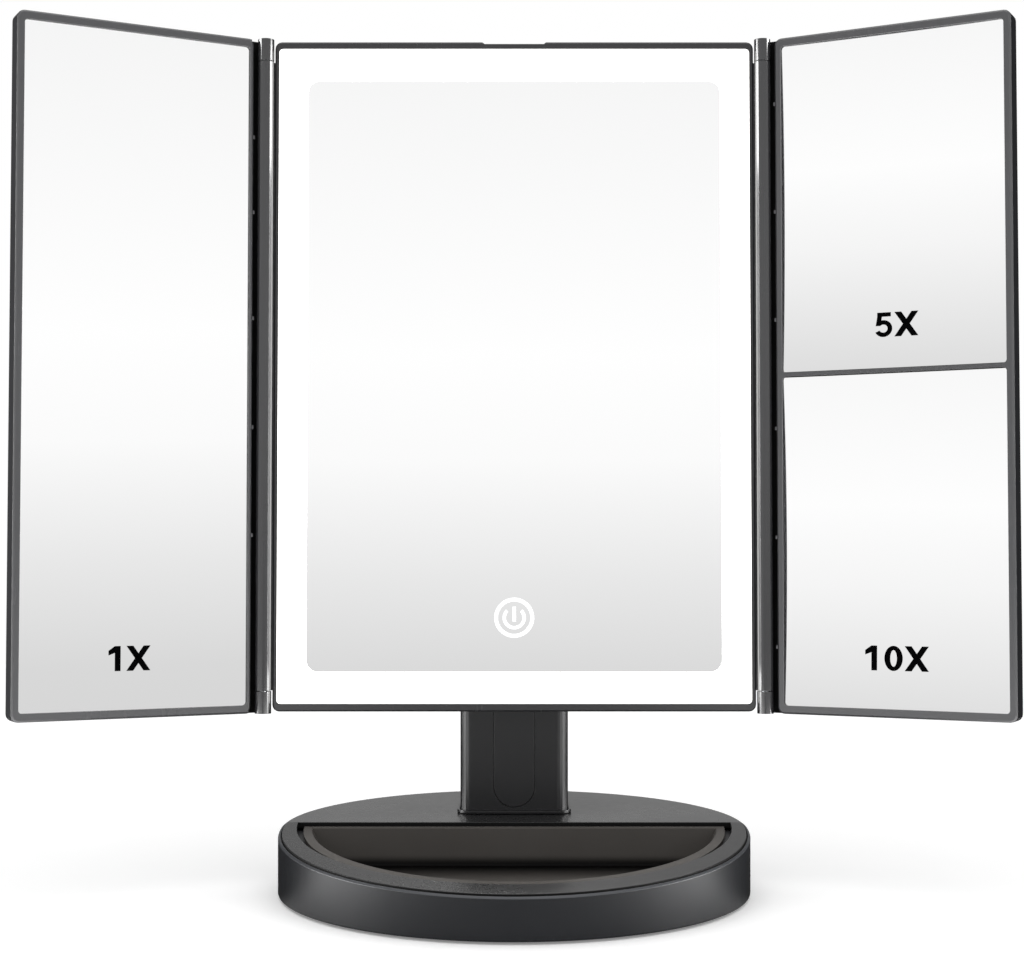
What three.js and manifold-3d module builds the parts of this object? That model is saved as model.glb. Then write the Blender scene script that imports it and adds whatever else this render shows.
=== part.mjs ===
// Lighted three-panel magnifying mirror on a round base with a tray.
// Millimetres, +Z up, front towards -Y. The origin is on the table under the middle of the base.
import * as THREE from 'three';
import { mergeVertices, toCreasedNormals } from 'three/addons/utils/BufferGeometryUtils.js';
import Module from 'manifold-3d';

const wasm = await Module();
wasm.setup();

// Clearances
const seat = 0.3;
const seam = 0.4;
const boltGap = 0.3;

// How far joined solids run into each other, and how far cutters run past what they cut
const bite = 0.5;
const overrun = 1;

// What is left of the flat between two round ends
const hair = 0.01;

// Sides of round outlines, steps round the tray, and sides of screws and their holes
const roundSides = 48;
const traySteps = 26;
const screwSides = 10;
const pilotSides = 8;

// Base
const baseRadius = 101;
const baseHeight = 27.9;
const baseFrontHeight = 19;
const footLift = 1;
const baseWall = 2.4;
const rimLand = 1.2;
const rimStep = 0.8;
const rimChamfer = 0.7;
const coverThickness = 2.4;
const coverSkirt = 5;
const skirtThickness = 1.6;
const bottomThickness = 2;
const ballastThickness = 5;
const ballastMargin = 3;

// Tray dish
const traySideMargin = 7;
const trayFrontMargin = 15;
const trayBackY = 8.5;
const trayDepth = 18.3;
const trayGap = 2.9;
const trayBackGap = 0.9;
const trayRimDrop = 0.8;
const trayRimWidth = 2.7;
const trayBackRimWidth = 2.3;
const trayWall = 1.8;
const trayFloorInset = 8;
const trayBackFloorInset = 1;
const trayFillet = 2;
const ledgeThickness = 1.6;

// Feet and base screws
const footSides = 18;
const footRadius = 8;
const footSeatDepth = 1;
const footInset = 18.6;
const baseScrewInset = 5.4;
const baseBossRadius = 4;
const baseBossHeight = 8.5;
const screwCupHeight = 1.6;
const screwCupWall = 1.2;
const screwWeb = 1.4;

// Screws
const screwShank = 1.3;
const screwHead = 3;
const screwHeadHeight = 1.6;
const blindEnd = 1;

// Stem
const stemWidth = 48.2;
const stemDepth = 24;
const stemFrontY = 30;
const stemCorner = 5;
const stemWall = 2.2;
const stemFrontShare = 17;
const collarWidth = 1.1;
const collarHeight = 1.3;
const inlayWidth = 17.9;
const inlayThickness = 0.9;
const inlayGroove = 0.4;
const inlaySink = 0.1;
const inlayLift = 3.2;
const inlayTopDrop = 24;

// Spine inside the stem
const spineWidth = 30;
const spineThickness = 4;
const spineEyeRadius = 7.5;
const spineFootWidth = 66;
const spineFootDepth = 30;
const spineFootThickness = 3;
const spineScrewX = 25;
const spineBossRadius = 4.5;
const spineBossHeight = 4;
const spinePilotRise = 1;

// Tilt hinge behind the centre panel
const tiltHeight = 150;
const leanBack = 1.91;
const tiltPinRadius = 3;
const tiltPinHeadRadius = 5;
const tiltPinHead = 2;
const washerRadius = 8;
const washerThickness = 1;
const earThickness = 6;
const earRadius = 9;
const earRoot = 20;
const bracketThickness = 3;
const bracketHeight = 50;
const bracketScrewX = 16;
const bracketBossDepth = 6.5;
const pinSides = 16;

// Centre panel, measured in its own plane: its front lies at y = 0 and its middle at z = 0
const panelBeforeTilt = 34.7;
const panelAboveTilt = 71.7;
const panelHalfWidth = 104.9;
const panelHalfHeight = 146.5;
const panelCorner = 3;
const panelRimSide = 1.8;
const panelRimTop = 3.05;
const panelRimBottom = 3.4;
const windowCorner = 1.6;
const frameLip = 0.6;
const frameLipDepth = 0.9;
const frameDepth = 9;
const panelDepth = 13;
const edgeBevel = 0.6;
const notchWidth = 26.2;
const notchDepth = 0.9;
const notchReach = 7;
const mirrorSideInset = 14.4;
const mirrorEndInset = 17;
const mirrorCorner = 5.2;
const glassThickness = 3;
const reflectorSheet = 1.2;
const platformMargin = 2.5;
const flangeSetBack = 5.6;
const cornerInset = 5.5;
const cornerBossRadius = 4;
const bossSkin = 0.8;
const counterboreDepth = 2.2;

// Lamp and controls
const sideChips = 14;
const endChips = 10;
const stripWidth = 8;
const stripThickness = 1;
const chipWidth = 2.8;
const chipLength = 3.5;
const chipHeight = 0.7;
const sideStripGap = 4.5;
const endStripGap = 2.5;
const touchRise = 24.1;
const touchPadRadius = 8.5;
const boardWidth = 92;
const boardHeight = 30;
const boardThickness = 1.4;
const boardX = 27;
const socketX = 60;
const socketWidth = 8.9;
const socketHeight = 3.2;
const socketWall = 0.3;
const socketDrop = 8;
const socketFloor = 1;
const tongueHalfWidth = 2.9;
const tongueThickness = 0.7;
const tongueSetBack = 0.8;

// Parts on the control board: place and size are shares of its width and height,
// and rise is a share of its thickness
const boardParts = [
  { across: -0.29, up: 0.13, wide: 0.1, high: 0.3, rise: 1 },
  { across: -0.12, up: -0.2, wide: 0.055, high: 0.2, rise: 1.15 },
  { across: -0.01, up: 0.17, wide: 0.075, high: 0.23, rise: 1.85 },
  { across: 0.14, up: -0.1, wide: 0.065, high: 0.13, rise: 1.15 },
  { across: 0.23, up: 0.3, wide: 0.085, high: 0.17, rise: 2 },
];

// Rear cover and battery compartment
const coverBack = 2;
const coverWall = 1.8;
const pressRibInset = 9.4;
const pressRibEndGap = 14.5;
const pressRibThickness = 1.4;
const cellCount = 4;
const cellRadius = 5.25;
const cellLength = 44.5;
const nubRadius = 1.9;
const nubLength = 1;
const contactThickness = 0.6;
const contactInset = 2;
const batteryWall = 1.8;
const batteryCorner = 1;
const batteryCentreZ = -19;
const compartmentBevel = 0.5;
const doorThickness = 1.8;
const thumbRadius = 9;
const thumbDepth = 1.4;
const thumbInset = 2;
const thumbLength = 6;

// Hinges between the centre panel and the wings
const hingeOutset = 3.9;
const hingeForward = 0.6;
const barrelRadius = 3.55;
const knuckleHeight = 9.6;
const knuckleCap = 1;
const barrelSides = 20;
const hingePinRadius = 1.5;
const hingePinReach = 10;

// Wings, measured from their hinge axis
const wingAngle = 27.56;
const wingInner = 5.3;
const wingMeetGap = 0.5;
const wingOverhang = 0.7;
const wingCorner = 3;
const wingRimInner = 2.8;
const wingRimOuter = 3;
const wingRimEnds = 3.6;
const wingLip = 0.8;
const wingLipDepth = 0.9;
const wingBevel = 0.8;
const wingGlass = 2.6;
const wingGlassCorner = 1.5;
const wingPocketCorner = 0.8;
const wingBack = 1.8;
const leafInner = -2.6;
const leafThickness = 1.8;
const leafSetBack = 5;
const leafWebHalf = 1.6;
const dividerWidth = 2;
const dividerZ = 0.6;
const fiveTimesRadius = 1000;
const tenTimesRadius = 650;
const magnifierThickness = 1.6;
const backRib = 1.6;
const backRibInset = 12;
const backPostRadius = 5;

// Solids and how they are joined and cut

function solidOf(geometry) {
  const bare = geometry.clone();
  bare.deleteAttribute('normal');
  bare.deleteAttribute('uv');
  const merged = mergeVertices(bare, 1e-4);
  const corners = merged.index.array;
  const kept = [];
  for (let i = 0; i < corners.length; i += 3) {
    const [a, b, c] = [corners[i], corners[i + 1], corners[i + 2]];
    if (a !== b && b !== c && c !== a) kept.push(a, b, c);
  }
  return new wasm.Manifold(new wasm.Mesh({
    numProp: 3,
    vertProperties: merged.attributes.position.array,
    triVerts: new Uint32Array(kept),
  }));
}

function geometryOf(made) {
  const mesh = made.getMesh();
  const geometry = new THREE.BufferGeometry();
  geometry.setAttribute('position', new THREE.BufferAttribute(mesh.vertProperties, 3));
  geometry.setIndex(new THREE.BufferAttribute(mesh.triVerts, 1));
  return geometry;
}

function join(first, ...others) {
  return geometryOf(others.reduce((made, next) => made.add(solidOf(next)), solidOf(first)));
}

function cut(first, ...others) {
  return geometryOf(others.reduce((made, next) => made.subtract(solidOf(next)), solidOf(first)));
}

function common(first, second) {
  return geometryOf(solidOf(first).intersect(solidOf(second)));
}

// Outlines

function roundedRectangle(width, height, radius, x = 0, y = 0) {
  const [w, h] = [width / 2, height / 2];
  const shape = new THREE.Shape();
  shape.moveTo(x - w + radius, y - h);
  shape.lineTo(x + w - radius, y - h);
  shape.absarc(x + w - radius, y - h + radius, radius, -Math.PI / 2, 0, false);
  shape.lineTo(x + w, y + h - radius);
  shape.absarc(x + w - radius, y + h - radius, radius, 0, Math.PI / 2, false);
  shape.lineTo(x - w + radius, y + h);
  shape.absarc(x - w + radius, y + h - radius, radius, Math.PI / 2, Math.PI, false);
  shape.lineTo(x - w, y - h + radius);
  shape.absarc(x - w + radius, y - h + radius, radius, Math.PI, 1.5 * Math.PI, false);
  return shape;
}

function circle(radius, x = 0, y = 0) {
  const shape = new THREE.Shape();
  shape.absarc(x, y, radius, 0, 2 * Math.PI, false);
  return shape;
}

function polygon(...points) {
  return new THREE.Shape(points.map(([x, y]) => new THREE.Vector2(x, y)));
}

function withHoles(shape, ...holes) {
  shape.holes.push(...holes);
  return shape;
}

function extruded(shape, depth, curveSegments) {
  return new THREE.ExtrudeGeometry(shape, { depth, bevelEnabled: false, curveSegments });
}

// An outline in plan, from one height to another.
function slab(shape, bottom, top, curveSegments = 4) {
  return extruded(shape, top - bottom, curveSegments).translate(0, 0, bottom);
}

// An outline seen from the front, in x and z, from one depth to another.
function sheet(shape, front, back, curveSegments = 2) {
  return extruded(shape, back - front, curveSegments).rotateX(Math.PI / 2).translate(0, back, 0);
}

// The same with its front and back edges chamfered.
function chamferedSheet(shape, front, back, chamfer, curveSegments = 2) {
  const geometry = new THREE.ExtrudeGeometry(shape, {
    depth: back - front - 2 * chamfer,
    bevelThickness: chamfer,
    bevelSize: chamfer,
    bevelOffset: -chamfer,
    bevelSegments: 1,
    curveSegments,
  });
  return geometry.rotateX(Math.PI / 2).translate(0, back - chamfer, 0);
}

// An outline seen from the side, in y and z, from left to right.
function profile(shape, left, right, curveSegments = 10) {
  const turn = new THREE.Matrix4().makeBasis(
    new THREE.Vector3(0, 1, 0), new THREE.Vector3(0, 0, 1), new THREE.Vector3(1, 0, 0));
  return extruded(shape, right - left, curveSegments).applyMatrix4(turn).translate(left, 0, 0);
}

function box(left, right, front, back, bottom, top) {
  return new THREE.BoxGeometry(right - left, back - front, top - bottom)
    .translate((left + right) / 2, (front + back) / 2, (bottom + top) / 2);
}

// A cylinder between two points.
function rod(radius, from, to, sides = 12) {
  const start = new THREE.Vector3(...from);
  const end = new THREE.Vector3(...to);
  const along = end.clone().sub(start);
  const turn = new THREE.Quaternion().setFromUnitVectors(
    new THREE.Vector3(0, 1, 0), along.clone().normalize());
  const middle = start.add(end).multiplyScalar(0.5);
  return new THREE.CylinderGeometry(radius, radius, along.length(), sides)
    .applyQuaternion(turn)
    .translate(middle.x, middle.y, middle.z);
}

// A profile of radius and height turned about the vertical axis.
function turned(points, sides = roundSides) {
  const outline = points.map(([r, z]) => new THREE.Vector2(r, z));
  return new THREE.LatheGeometry(outline, sides).rotateX(Math.PI / 2);
}

// A body through outlines of equal point counts, listed from the bottom up.
function loft(levels) {
  const count = levels[0].outline.length;
  const positions = [];
  const corners = [];
  for (const { outline, z } of levels) {
    for (const point of outline) positions.push(point.x, point.y, z);
  }
  for (let level = 0; level + 1 < levels.length; level++) {
    for (let i = 0; i < count; i++) {
      const a = level * count + i;
      const b = level * count + (i + 1) % count;
      corners.push(a, b, b + count, a, b + count, a + count);
    }
  }
  const top = (levels.length - 1) * count;
  for (const [a, b, c] of THREE.ShapeUtils.triangulateShape(levels[0].outline, [])) {
    corners.push(c, b, a, a + top, b + top, c + top);
  }
  const geometry = new THREE.BufferGeometry();
  geometry.setAttribute('position', new THREE.Float32BufferAttribute(positions, 3));
  geometry.setIndex(corners);
  return geometry;
}

// The same piece for the other side, with its faces turned to point outwards again.
function mirrored(geometry) {
  const other = geometryOf(solidOf(geometry)).scale(-1, 1, 1);
  const corners = other.index.array;
  for (let i = 0; i < corners.length; i += 3) {
    [corners[i + 1], corners[i + 2]] = [corners[i + 2], corners[i + 1]];
  }
  return other;
}

// A screw with its head's outer face at the point `from`, driven towards `to`.
function screw(from, to) {
  const start = new THREE.Vector3(...from);
  const along = new THREE.Vector3(...to).sub(start).normalize();
  const underHead = start.clone().addScaledVector(along, screwHeadHeight);
  return join(rod(screwHead, from, underHead.toArray(), screwSides), rod(screwShank, from, to, pilotSides));
}

// Materials

function finish(color, roughness, metalness = 0) {
  return new THREE.MeshStandardMaterial({ color, roughness, metalness });
}

const blackPlastic = finish(0x2e2f31, 0.42);
const frameGrey = finish(0x3b3b3d, 0.4);
const wingGrey = finish(0x5a5a5c, 0.4);
const trayBlack = finish(0x2b2826, 0.5);
const rubber = finish(0x1c1c1c, 0.9);
const steel = finish(0xb6b8ba, 0.35, 1);
const castIron = finish(0x6b6d6f, 0.6, 1);
const mirrorSilver = finish(0xf2f3f4, 0.04, 1);
const opal = finish(0xffffff, 0.6);
opal.emissive = new THREE.Color(0xffffff);
const whitePlastic = finish(0xf4f4f2, 0.6);
const boardGreen = finish(0x1f5a36, 0.6);
const copper = finish(0xb8734a, 0.4, 1);
const cellWrap = finish(0x3c6f9c, 0.5);

const mirror = new THREE.Group();
const tilt = new THREE.Group();
const panel = new THREE.Group();
const leftWing = new THREE.Group();
const rightWing = new THREE.Group();

function add(parent, name, geometry, material) {
  const mesh = new THREE.Mesh(toCreasedNormals(geometry, 0.6), material);
  mesh.name = name;
  parent.add(mesh);
}

// Base

const far = 4 * baseRadius;
const frontSlope = (baseHeight - baseFrontHeight) / (baseRadius + trayBackY);
const coverRadius = baseRadius - rimLand - seam;
const wallInside = baseRadius - baseWall;
const coverUnderside = baseHeight - coverThickness;
const trayHalfWidth = baseRadius - traySideMargin;
const trayReach = baseRadius + trayBackY - trayFrontMargin;
const trayRimInside = trayGap + trayRimWidth;
const trayBackInside = trayBackGap + trayBackRimWidth;
const footCircle = wallInside - footInset;
const baseScrewCircle = wallInside - baseScrewInset;
const bottomTop = footLift + bottomThickness;
const cupTop = bottomTop + screwCupHeight;
const baseScrewSeat = cupTop - screwWeb;
const bossBottom = cupTop + seat;
const bossTop = bossBottom + baseBossHeight;
const stemMiddleY = stemFrontY + stemDepth / 2;
const spinePilotTop = coverUnderside + spinePilotRise;

// The top is level behind the tray's back edge and falls evenly from there to the front, so a piece
// made level is kept as it is behind that edge and sheared down in front of it.
function followTop(level) {
  const behind = box(-far, far, trayBackY, far, -far, far);
  const before = box(-far, far, -far, trayBackY, -far, far);
  const fall = new THREE.Matrix4().set(
    1, 0, 0, 0,
    0, 1, 0, 0,
    0, frontSlope, 1, -frontSlope * trayBackY,
    0, 0, 0, 1);
  const sheared = level.clone().applyMatrix4(fall);
  return join(common(level, behind), common(sheared, before));
}

// Everything lower than the top surface by at least this much.
function underTop(drop) {
  return followTop(box(-far, far, -far, far, -far, baseHeight - drop));
}

// The tray's outline: half an ellipse in front of a straight back edge. It is drawn inwards by inset, and
// its back edge by backInset.
function trayOutline(inset, backInset = inset) {
  const halfWidth = trayHalfWidth - inset;
  const reach = trayReach - inset;
  const short = Math.asin(backInset / reach);
  const points = [];
  for (let i = 0; i <= traySteps; i++) {
    const angle = Math.PI + short + (Math.PI - 2 * short) * i / traySteps;
    points.push(new THREE.Vector2(halfWidth * Math.cos(angle), trayBackY + reach * Math.sin(angle)));
  }
  return points;
}

// A ring between two such outlines, each given as its inset and back inset.
function trayRing(outer, inner, bottom, top) {
  const shape = new THREE.Shape(trayOutline(...outer));
  return slab(withHoles(shape, new THREE.Path(trayOutline(...inner))), bottom, top);
}

function baseScrewPlaces() {
  return [45, 135, 225, 315].map((degrees) => {
    const angle = THREE.MathUtils.degToRad(degrees);
    return [baseScrewCircle * Math.cos(angle), baseScrewCircle * Math.sin(angle)];
  });
}

function footPlaces() {
  return [0, 90, 180, 270].map((degrees) => {
    const angle = THREE.MathUtils.degToRad(degrees);
    return [footCircle * Math.cos(angle), footCircle * Math.sin(angle)];
  });
}

function baseWallShell() {
  const landInside = baseRadius - rimLand;
  const landTop = baseHeight - rimStep;
  const rebate = coverUnderside - seat;
  const ring = turned([
    [wallInside, -baseHeight],
    [baseRadius, -baseHeight],
    [baseRadius, landTop - rimChamfer],
    [baseRadius - rimChamfer, landTop],
    [landInside, landTop],
    [landInside, rebate],
    [wallInside, rebate],
    [wallInside, -baseHeight],
  ]);
  const standing = common(followTop(ring), box(-far, far, -far, far, footLift, far));
  const bosses = baseScrewPlaces().map(([x, y]) => {
    const outward = (baseRadius - baseWall / 2) / baseScrewCircle;
    const post = rod(baseBossRadius, [x, y, bossBottom], [x, y, bossTop]);
    const web = box(
      baseScrewCircle, baseScrewCircle * outward, -baseBossRadius / 2, baseBossRadius / 2,
      bossBottom, bossTop).rotateZ(Math.atan2(y, x));
    return join(post, web);
  });
  const holes = baseScrewPlaces().map(([x, y]) => rod(
    screwShank + boltGap, [x, y, 0], [x, y, bossTop - blindEnd], pilotSides));
  return cut(join(standing, ...bosses), ...holes);
}

function baseTopCover() {
  const opening = new THREE.Path(trayOutline(0));
  const plate = slab(withHoles(circle(coverRadius), opening), coverUnderside, baseHeight, roundSides / 2);
  const skirtOutside = wallInside - seat;
  const skirt = slab(
    withHoles(circle(skirtOutside), circle(skirtOutside - skirtThickness)),
    coverUnderside - coverSkirt, coverUnderside + bite, roundSides / 2);
  const ledgeTop = baseHeight - trayRimDrop - trayWall - seat;
  const ledgeBottom = ledgeTop - ledgeThickness;
  const draftAtLedge = trayFloorInset * (baseHeight - ledgeTop) / (trayDepth - trayFillet);
  const ledgeInset = trayRimInside - trayWall + draftAtLedge - 2 * seat;
  const ledgeBackInset = trayBackInside - trayWall - 2 * seat;
  const ledge = trayRing([-baseWall], [ledgeInset, ledgeBackInset], ledgeBottom, ledgeTop);
  const ledgeWall = trayRing([-baseWall], [0], ledgeBottom, coverUnderside + bite);
  const bossFoot = coverUnderside - spineBossHeight;
  const bosses = [-spineScrewX, spineScrewX].map((x) => rod(
    spineBossRadius, [x, stemMiddleY, bossFoot], [x, stemMiddleY, coverUnderside + bite]));
  const pilots = [-spineScrewX, spineScrewX].map((x) => rod(
    screwShank + boltGap, [x, stemMiddleY, 0], [x, stemMiddleY, spinePilotTop], pilotSides));
  const slotOutline = roundedRectangle(
    spineWidth + 2 * seat, spineThickness + 2 * seat, 2 * seat, 0, stemMiddleY);
  const slot = slab(slotOutline, 0, 2 * baseHeight);
  return cut(followTop(join(plate, skirt, ledge, ledgeWall, ...bosses)), slot, ...pilots);
}

// The dish hangs by its rim on the cover's ledge. Its walls lean outwards, most at the ends and in front,
// and its floor has a fillet.
function trayDish() {
  const floorZ = baseHeight - trayDepth;
  const rim = followTop(trayRing(
    [trayGap, trayBackGap], [trayRimInside, trayBackInside],
    baseHeight - trayRimDrop - trayWall, baseHeight - trayRimDrop));
  const outline = (outwards, lean, inwards) => trayOutline(
    trayRimInside - outwards + lean * trayFloorInset + inwards,
    trayBackInside - outwards + lean * trayBackFloorInset + inwards);
  const outside = loft([
    { outline: outline(trayWall, 1, trayFillet), z: floorZ - trayWall },
    { outline: outline(trayWall, 1, 0), z: floorZ - trayWall + trayFillet },
    { outline: outline(trayWall, 0, 0), z: baseHeight },
  ]);
  const filletSteps = [0, 30, 60, 90].map((degrees) => {
    const angle = THREE.MathUtils.degToRad(degrees);
    return {
      outline: outline(0, 1, trayFillet * (1 - Math.sin(angle))),
      z: floorZ + trayFillet * (1 - Math.cos(angle)),
    };
  });
  const hollow = loft([...filletSteps, { outline: outline(0, 0, 0), z: baseHeight }]);
  return cut(join(rim, common(outside, underTop(trayRimDrop + bite))), hollow);
}

function baseBottomPlate() {
  const disc = slab(circle(wallInside - seat), footLift, bottomTop, roundSides / 2);
  const cups = baseScrewPlaces().map(([x, y]) => rod(
    screwHead + boltGap + screwCupWall, [x, y, bottomTop - bite], [x, y, cupTop]));
  const screwHoles = baseScrewPlaces().map(([x, y]) => join(
    rod(screwShank + boltGap, [x, y, 0], [x, y, cupTop + overrun], pilotSides),
    rod(screwHead + boltGap, [x, y, 0], [x, y, baseScrewSeat])));
  const footSeats = footPlaces().map(([x, y]) => rod(
    footRadius + boltGap, [x, y, 0], [x, y, footLift + footSeatDepth], footSides));
  return cut(join(disc, ...cups), ...screwHoles, ...footSeats);
}

function ballastWeight() {
  const radius = wallInside - ballastMargin;
  const front = trayBackY + ballastMargin;
  const past = Math.asin(front / radius);
  const shape = new THREE.Shape();
  shape.absarc(0, 0, radius, past, Math.PI - past, false);
  const bottom = bottomTop + seat;
  const slice = slab(shape, bottom, bottom + ballastThickness, 18);
  const clearings = baseScrewPlaces().filter(([, y]) => y > 0).map(([x, y]) => rod(
    baseBossRadius + ballastMargin, [x, y, 0], [x, y, baseHeight]));
  return cut(slice, ...clearings);
}

add(mirror, 'base_wall_shell', baseWallShell(), blackPlastic);
add(mirror, 'base_top_cover', baseTopCover(), blackPlastic);
add(mirror, 'tray_dish', trayDish(), trayBlack);
add(mirror, 'base_bottom_plate', baseBottomPlate(), blackPlastic);
add(mirror, 'ballast_weight', ballastWeight(), castIron);
footPlaces().forEach(([x, y], i) => {
  const footTop = footLift + footSeatDepth - seat;
  add(mirror, `rubber_foot_${i + 1}`, rod(footRadius, [x, y, 0], [x, y, footTop], footSides), rubber);
});
baseScrewPlaces().forEach(([x, y], i) => {
  const headFace = baseScrewSeat - seat - screwHeadHeight;
  const tip = bossTop - 2 * blindEnd;
  add(mirror, `base_screw_${i + 1}`, screw([x, y, headFace], [x, y, tip]), steel);
});

// Stem

const stemFootZ = baseHeight + seat;
const stemHeadRadius = stemDepth / 2;
const stemSplitY = stemFrontY + stemFrontShare;

// The stem's outside drawn inwards by inset: a rounded column whose top is round about the tilt axis.
function stemBody(inset, bottom) {
  const plan = roundedRectangle(
    stemWidth - 2 * inset, stemDepth - 2 * inset, stemCorner - inset, 0, stemMiddleY);
  const column = slab(plan, bottom, tiltHeight + stemDepth, 3);
  const reach = stemHeadRadius - inset;
  const side = new THREE.Shape();
  side.moveTo(stemMiddleY + reach, bottom);
  side.lineTo(stemMiddleY + reach, tiltHeight);
  side.absarc(stemMiddleY, tiltHeight, reach, 0, Math.PI, false);
  side.lineTo(stemMiddleY - reach, bottom);
  return common(column, profile(side, -stemWidth, stemWidth, 7));
}

function stemTube() {
  const pinHole = rod(
    tiltPinRadius + boltGap, [-stemWidth, stemMiddleY, tiltHeight], [stemWidth, stemMiddleY, tiltHeight]);
  return cut(stemBody(0, stemFootZ), stemBody(stemWall, stemFootZ - overrun), pinHole);
}

function inlayOutline(extra) {
  const bottom = baseHeight + inlayLift;
  const top = tiltHeight - inlayTopDrop;
  const width = inlayWidth + 2 * extra;
  return roundedRectangle(width, top - bottom + 2 * extra, width / 2 - hair, 0, (top + bottom) / 2);
}

function stemFrontShell() {
  const front = common(stemTube(), box(-far, far, -far, stemSplitY - seat / 2, -far, far));
  const recessDepth = inlaySink + inlayThickness + seat;
  return cut(front, sheet(inlayOutline(inlayGroove), 0, stemFrontY + recessDepth, 4));
}

function stemRearShell() {
  return common(stemTube(), box(-far, far, stemSplitY + seat / 2, far, -far, far));
}

function stemCollar() {
  const inner = roundedRectangle(
    stemWidth + 2 * seat, stemDepth + 2 * seat, stemCorner + seat, 0, stemMiddleY);
  const outer = roundedRectangle(
    stemWidth + 2 * (seat + collarWidth), stemDepth + 2 * (seat + collarWidth),
    stemCorner + seat + collarWidth, 0, stemMiddleY);
  return slab(withHoles(outer, inner), stemFootZ, stemFootZ + collarHeight, 3);
}

// A steel strip on a foot plate under the base cover, with an eye at the top for the tilt pin.
function stemSpine() {
  const footTop = coverUnderside - spineBossHeight - seat;
  const footOutline = roundedRectangle(spineFootWidth, spineFootDepth, spineThickness, 0, stemMiddleY);
  const foot = slab(footOutline, footTop - spineFootThickness, footTop, 2);
  const strip = box(
    -spineWidth / 2, spineWidth / 2, stemMiddleY - spineThickness / 2, stemMiddleY + spineThickness / 2,
    footTop - bite, tiltHeight);
  const eyeHalf = stemWidth / 2 - stemWall - seat;
  const eye = rod(spineEyeRadius, [-eyeHalf, stemMiddleY, tiltHeight], [eyeHalf, stemMiddleY, tiltHeight]);
  const bore = rod(
    tiltPinRadius + boltGap, [-stemWidth, stemMiddleY, tiltHeight], [stemWidth, stemMiddleY, tiltHeight]);
  const holes = [-spineScrewX, spineScrewX].map((x) => rod(
    screwShank + boltGap, [x, stemMiddleY, 0], [x, stemMiddleY, footTop + overrun], pilotSides));
  return cut(join(foot, strip, eye), bore, ...holes);
}

add(mirror, 'stem_front_shell', stemFrontShell(), blackPlastic);
add(mirror, 'stem_rear_shell', stemRearShell(), blackPlastic);
const inlayFront = stemFrontY + inlaySink;
const inlay = sheet(inlayOutline(0), inlayFront, inlayFront + inlayThickness, 4);
add(mirror, 'stem_inlay', inlay, blackPlastic);
add(mirror, 'stem_collar', stemCollar(), blackPlastic);
add(mirror, 'stem_spine', stemSpine(), steel);
[-spineScrewX, spineScrewX].forEach((x, i) => {
  const headTop = coverUnderside - spineBossHeight - seat - spineFootThickness - seat;
  const tip = spinePilotTop - 2 * seat;
  add(mirror, `spine_screw_${i + 1}`,
    screw([x, stemMiddleY, headTop - screwHeadHeight], [x, stemMiddleY, tip]), steel);
});

// Tilt hinge, in the centre panel's own frame

const axisY = panelBeforeTilt;
const axisZ = -panelAboveTilt;
const washerInside = stemWidth / 2 + seat;
const earInside = washerInside + washerThickness + seat;
const earOutside = earInside + earThickness;
const bracketBossFront = panelDepth - bracketBossDepth;

function tiltBracket() {
  const plateFront = panelDepth + seat;
  const outline = roundedRectangle(2 * earOutside, bracketHeight, bracketThickness, 0, axisZ);
  const plate = sheet(outline, plateFront, plateFront + bracketThickness);
  const earProfile = polygon(
    [plateFront, axisZ - earRoot], [axisY, axisZ - earRadius],
    [axisY, axisZ + earRadius], [plateFront, axisZ + earRoot]);
  const ears = [[-earOutside, -earInside], [earInside, earOutside]].map(([left, right]) => join(
    profile(earProfile, left, right),
    rod(earRadius, [left, axisY, axisZ], [right, axisY, axisZ], 20)));
  const bore = rod(tiltPinRadius + boltGap, [-far, axisY, axisZ], [far, axisY, axisZ]);
  const holes = [-bracketScrewX, bracketScrewX].map((x) => rod(
    screwShank + boltGap, [x, 0, axisZ], [x, 2 * panelDepth, axisZ], pilotSides));
  return cut(join(plate, ...ears), bore, ...holes);
}

function tiltPin() {
  const headInside = earOutside + seat;
  const headOutside = headInside + tiltPinHead;
  return join(
    rod(tiltPinRadius, [-headOutside, axisY, axisZ], [headOutside, axisY, axisZ], pinSides),
    rod(tiltPinHeadRadius, [-headOutside, axisY, axisZ], [-headInside, axisY, axisZ], pinSides),
    rod(tiltPinHeadRadius, [headInside, axisY, axisZ], [headOutside, axisY, axisZ], pinSides));
}

function tiltWasher(side) {
  const [near, away] = [side * washerInside, side * (washerInside + washerThickness)];
  return cut(
    rod(washerRadius, [near, axisY, axisZ], [away, axisY, axisZ], pinSides),
    rod(tiltPinRadius + boltGap, [-far, axisY, axisZ], [far, axisY, axisZ], pinSides));
}

add(panel, 'tilt_bracket', tiltBracket(), blackPlastic);
add(panel, 'tilt_pin', tiltPin(), steel);
add(panel, 'tilt_washer_left', tiltWasher(-1), steel);
add(panel, 'tilt_washer_right', tiltWasher(1), steel);
[-bracketScrewX, bracketScrewX].forEach((x, i) => {
  const headFace = panelDepth + seat + bracketThickness + seat + screwHeadHeight;
  const tip = bracketBossFront + 2 * seat;
  add(panel, `bracket_screw_${i + 1}`, screw([x, headFace, axisZ], [x, tip, axisZ]), steel);
});

// Centre panel

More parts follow.
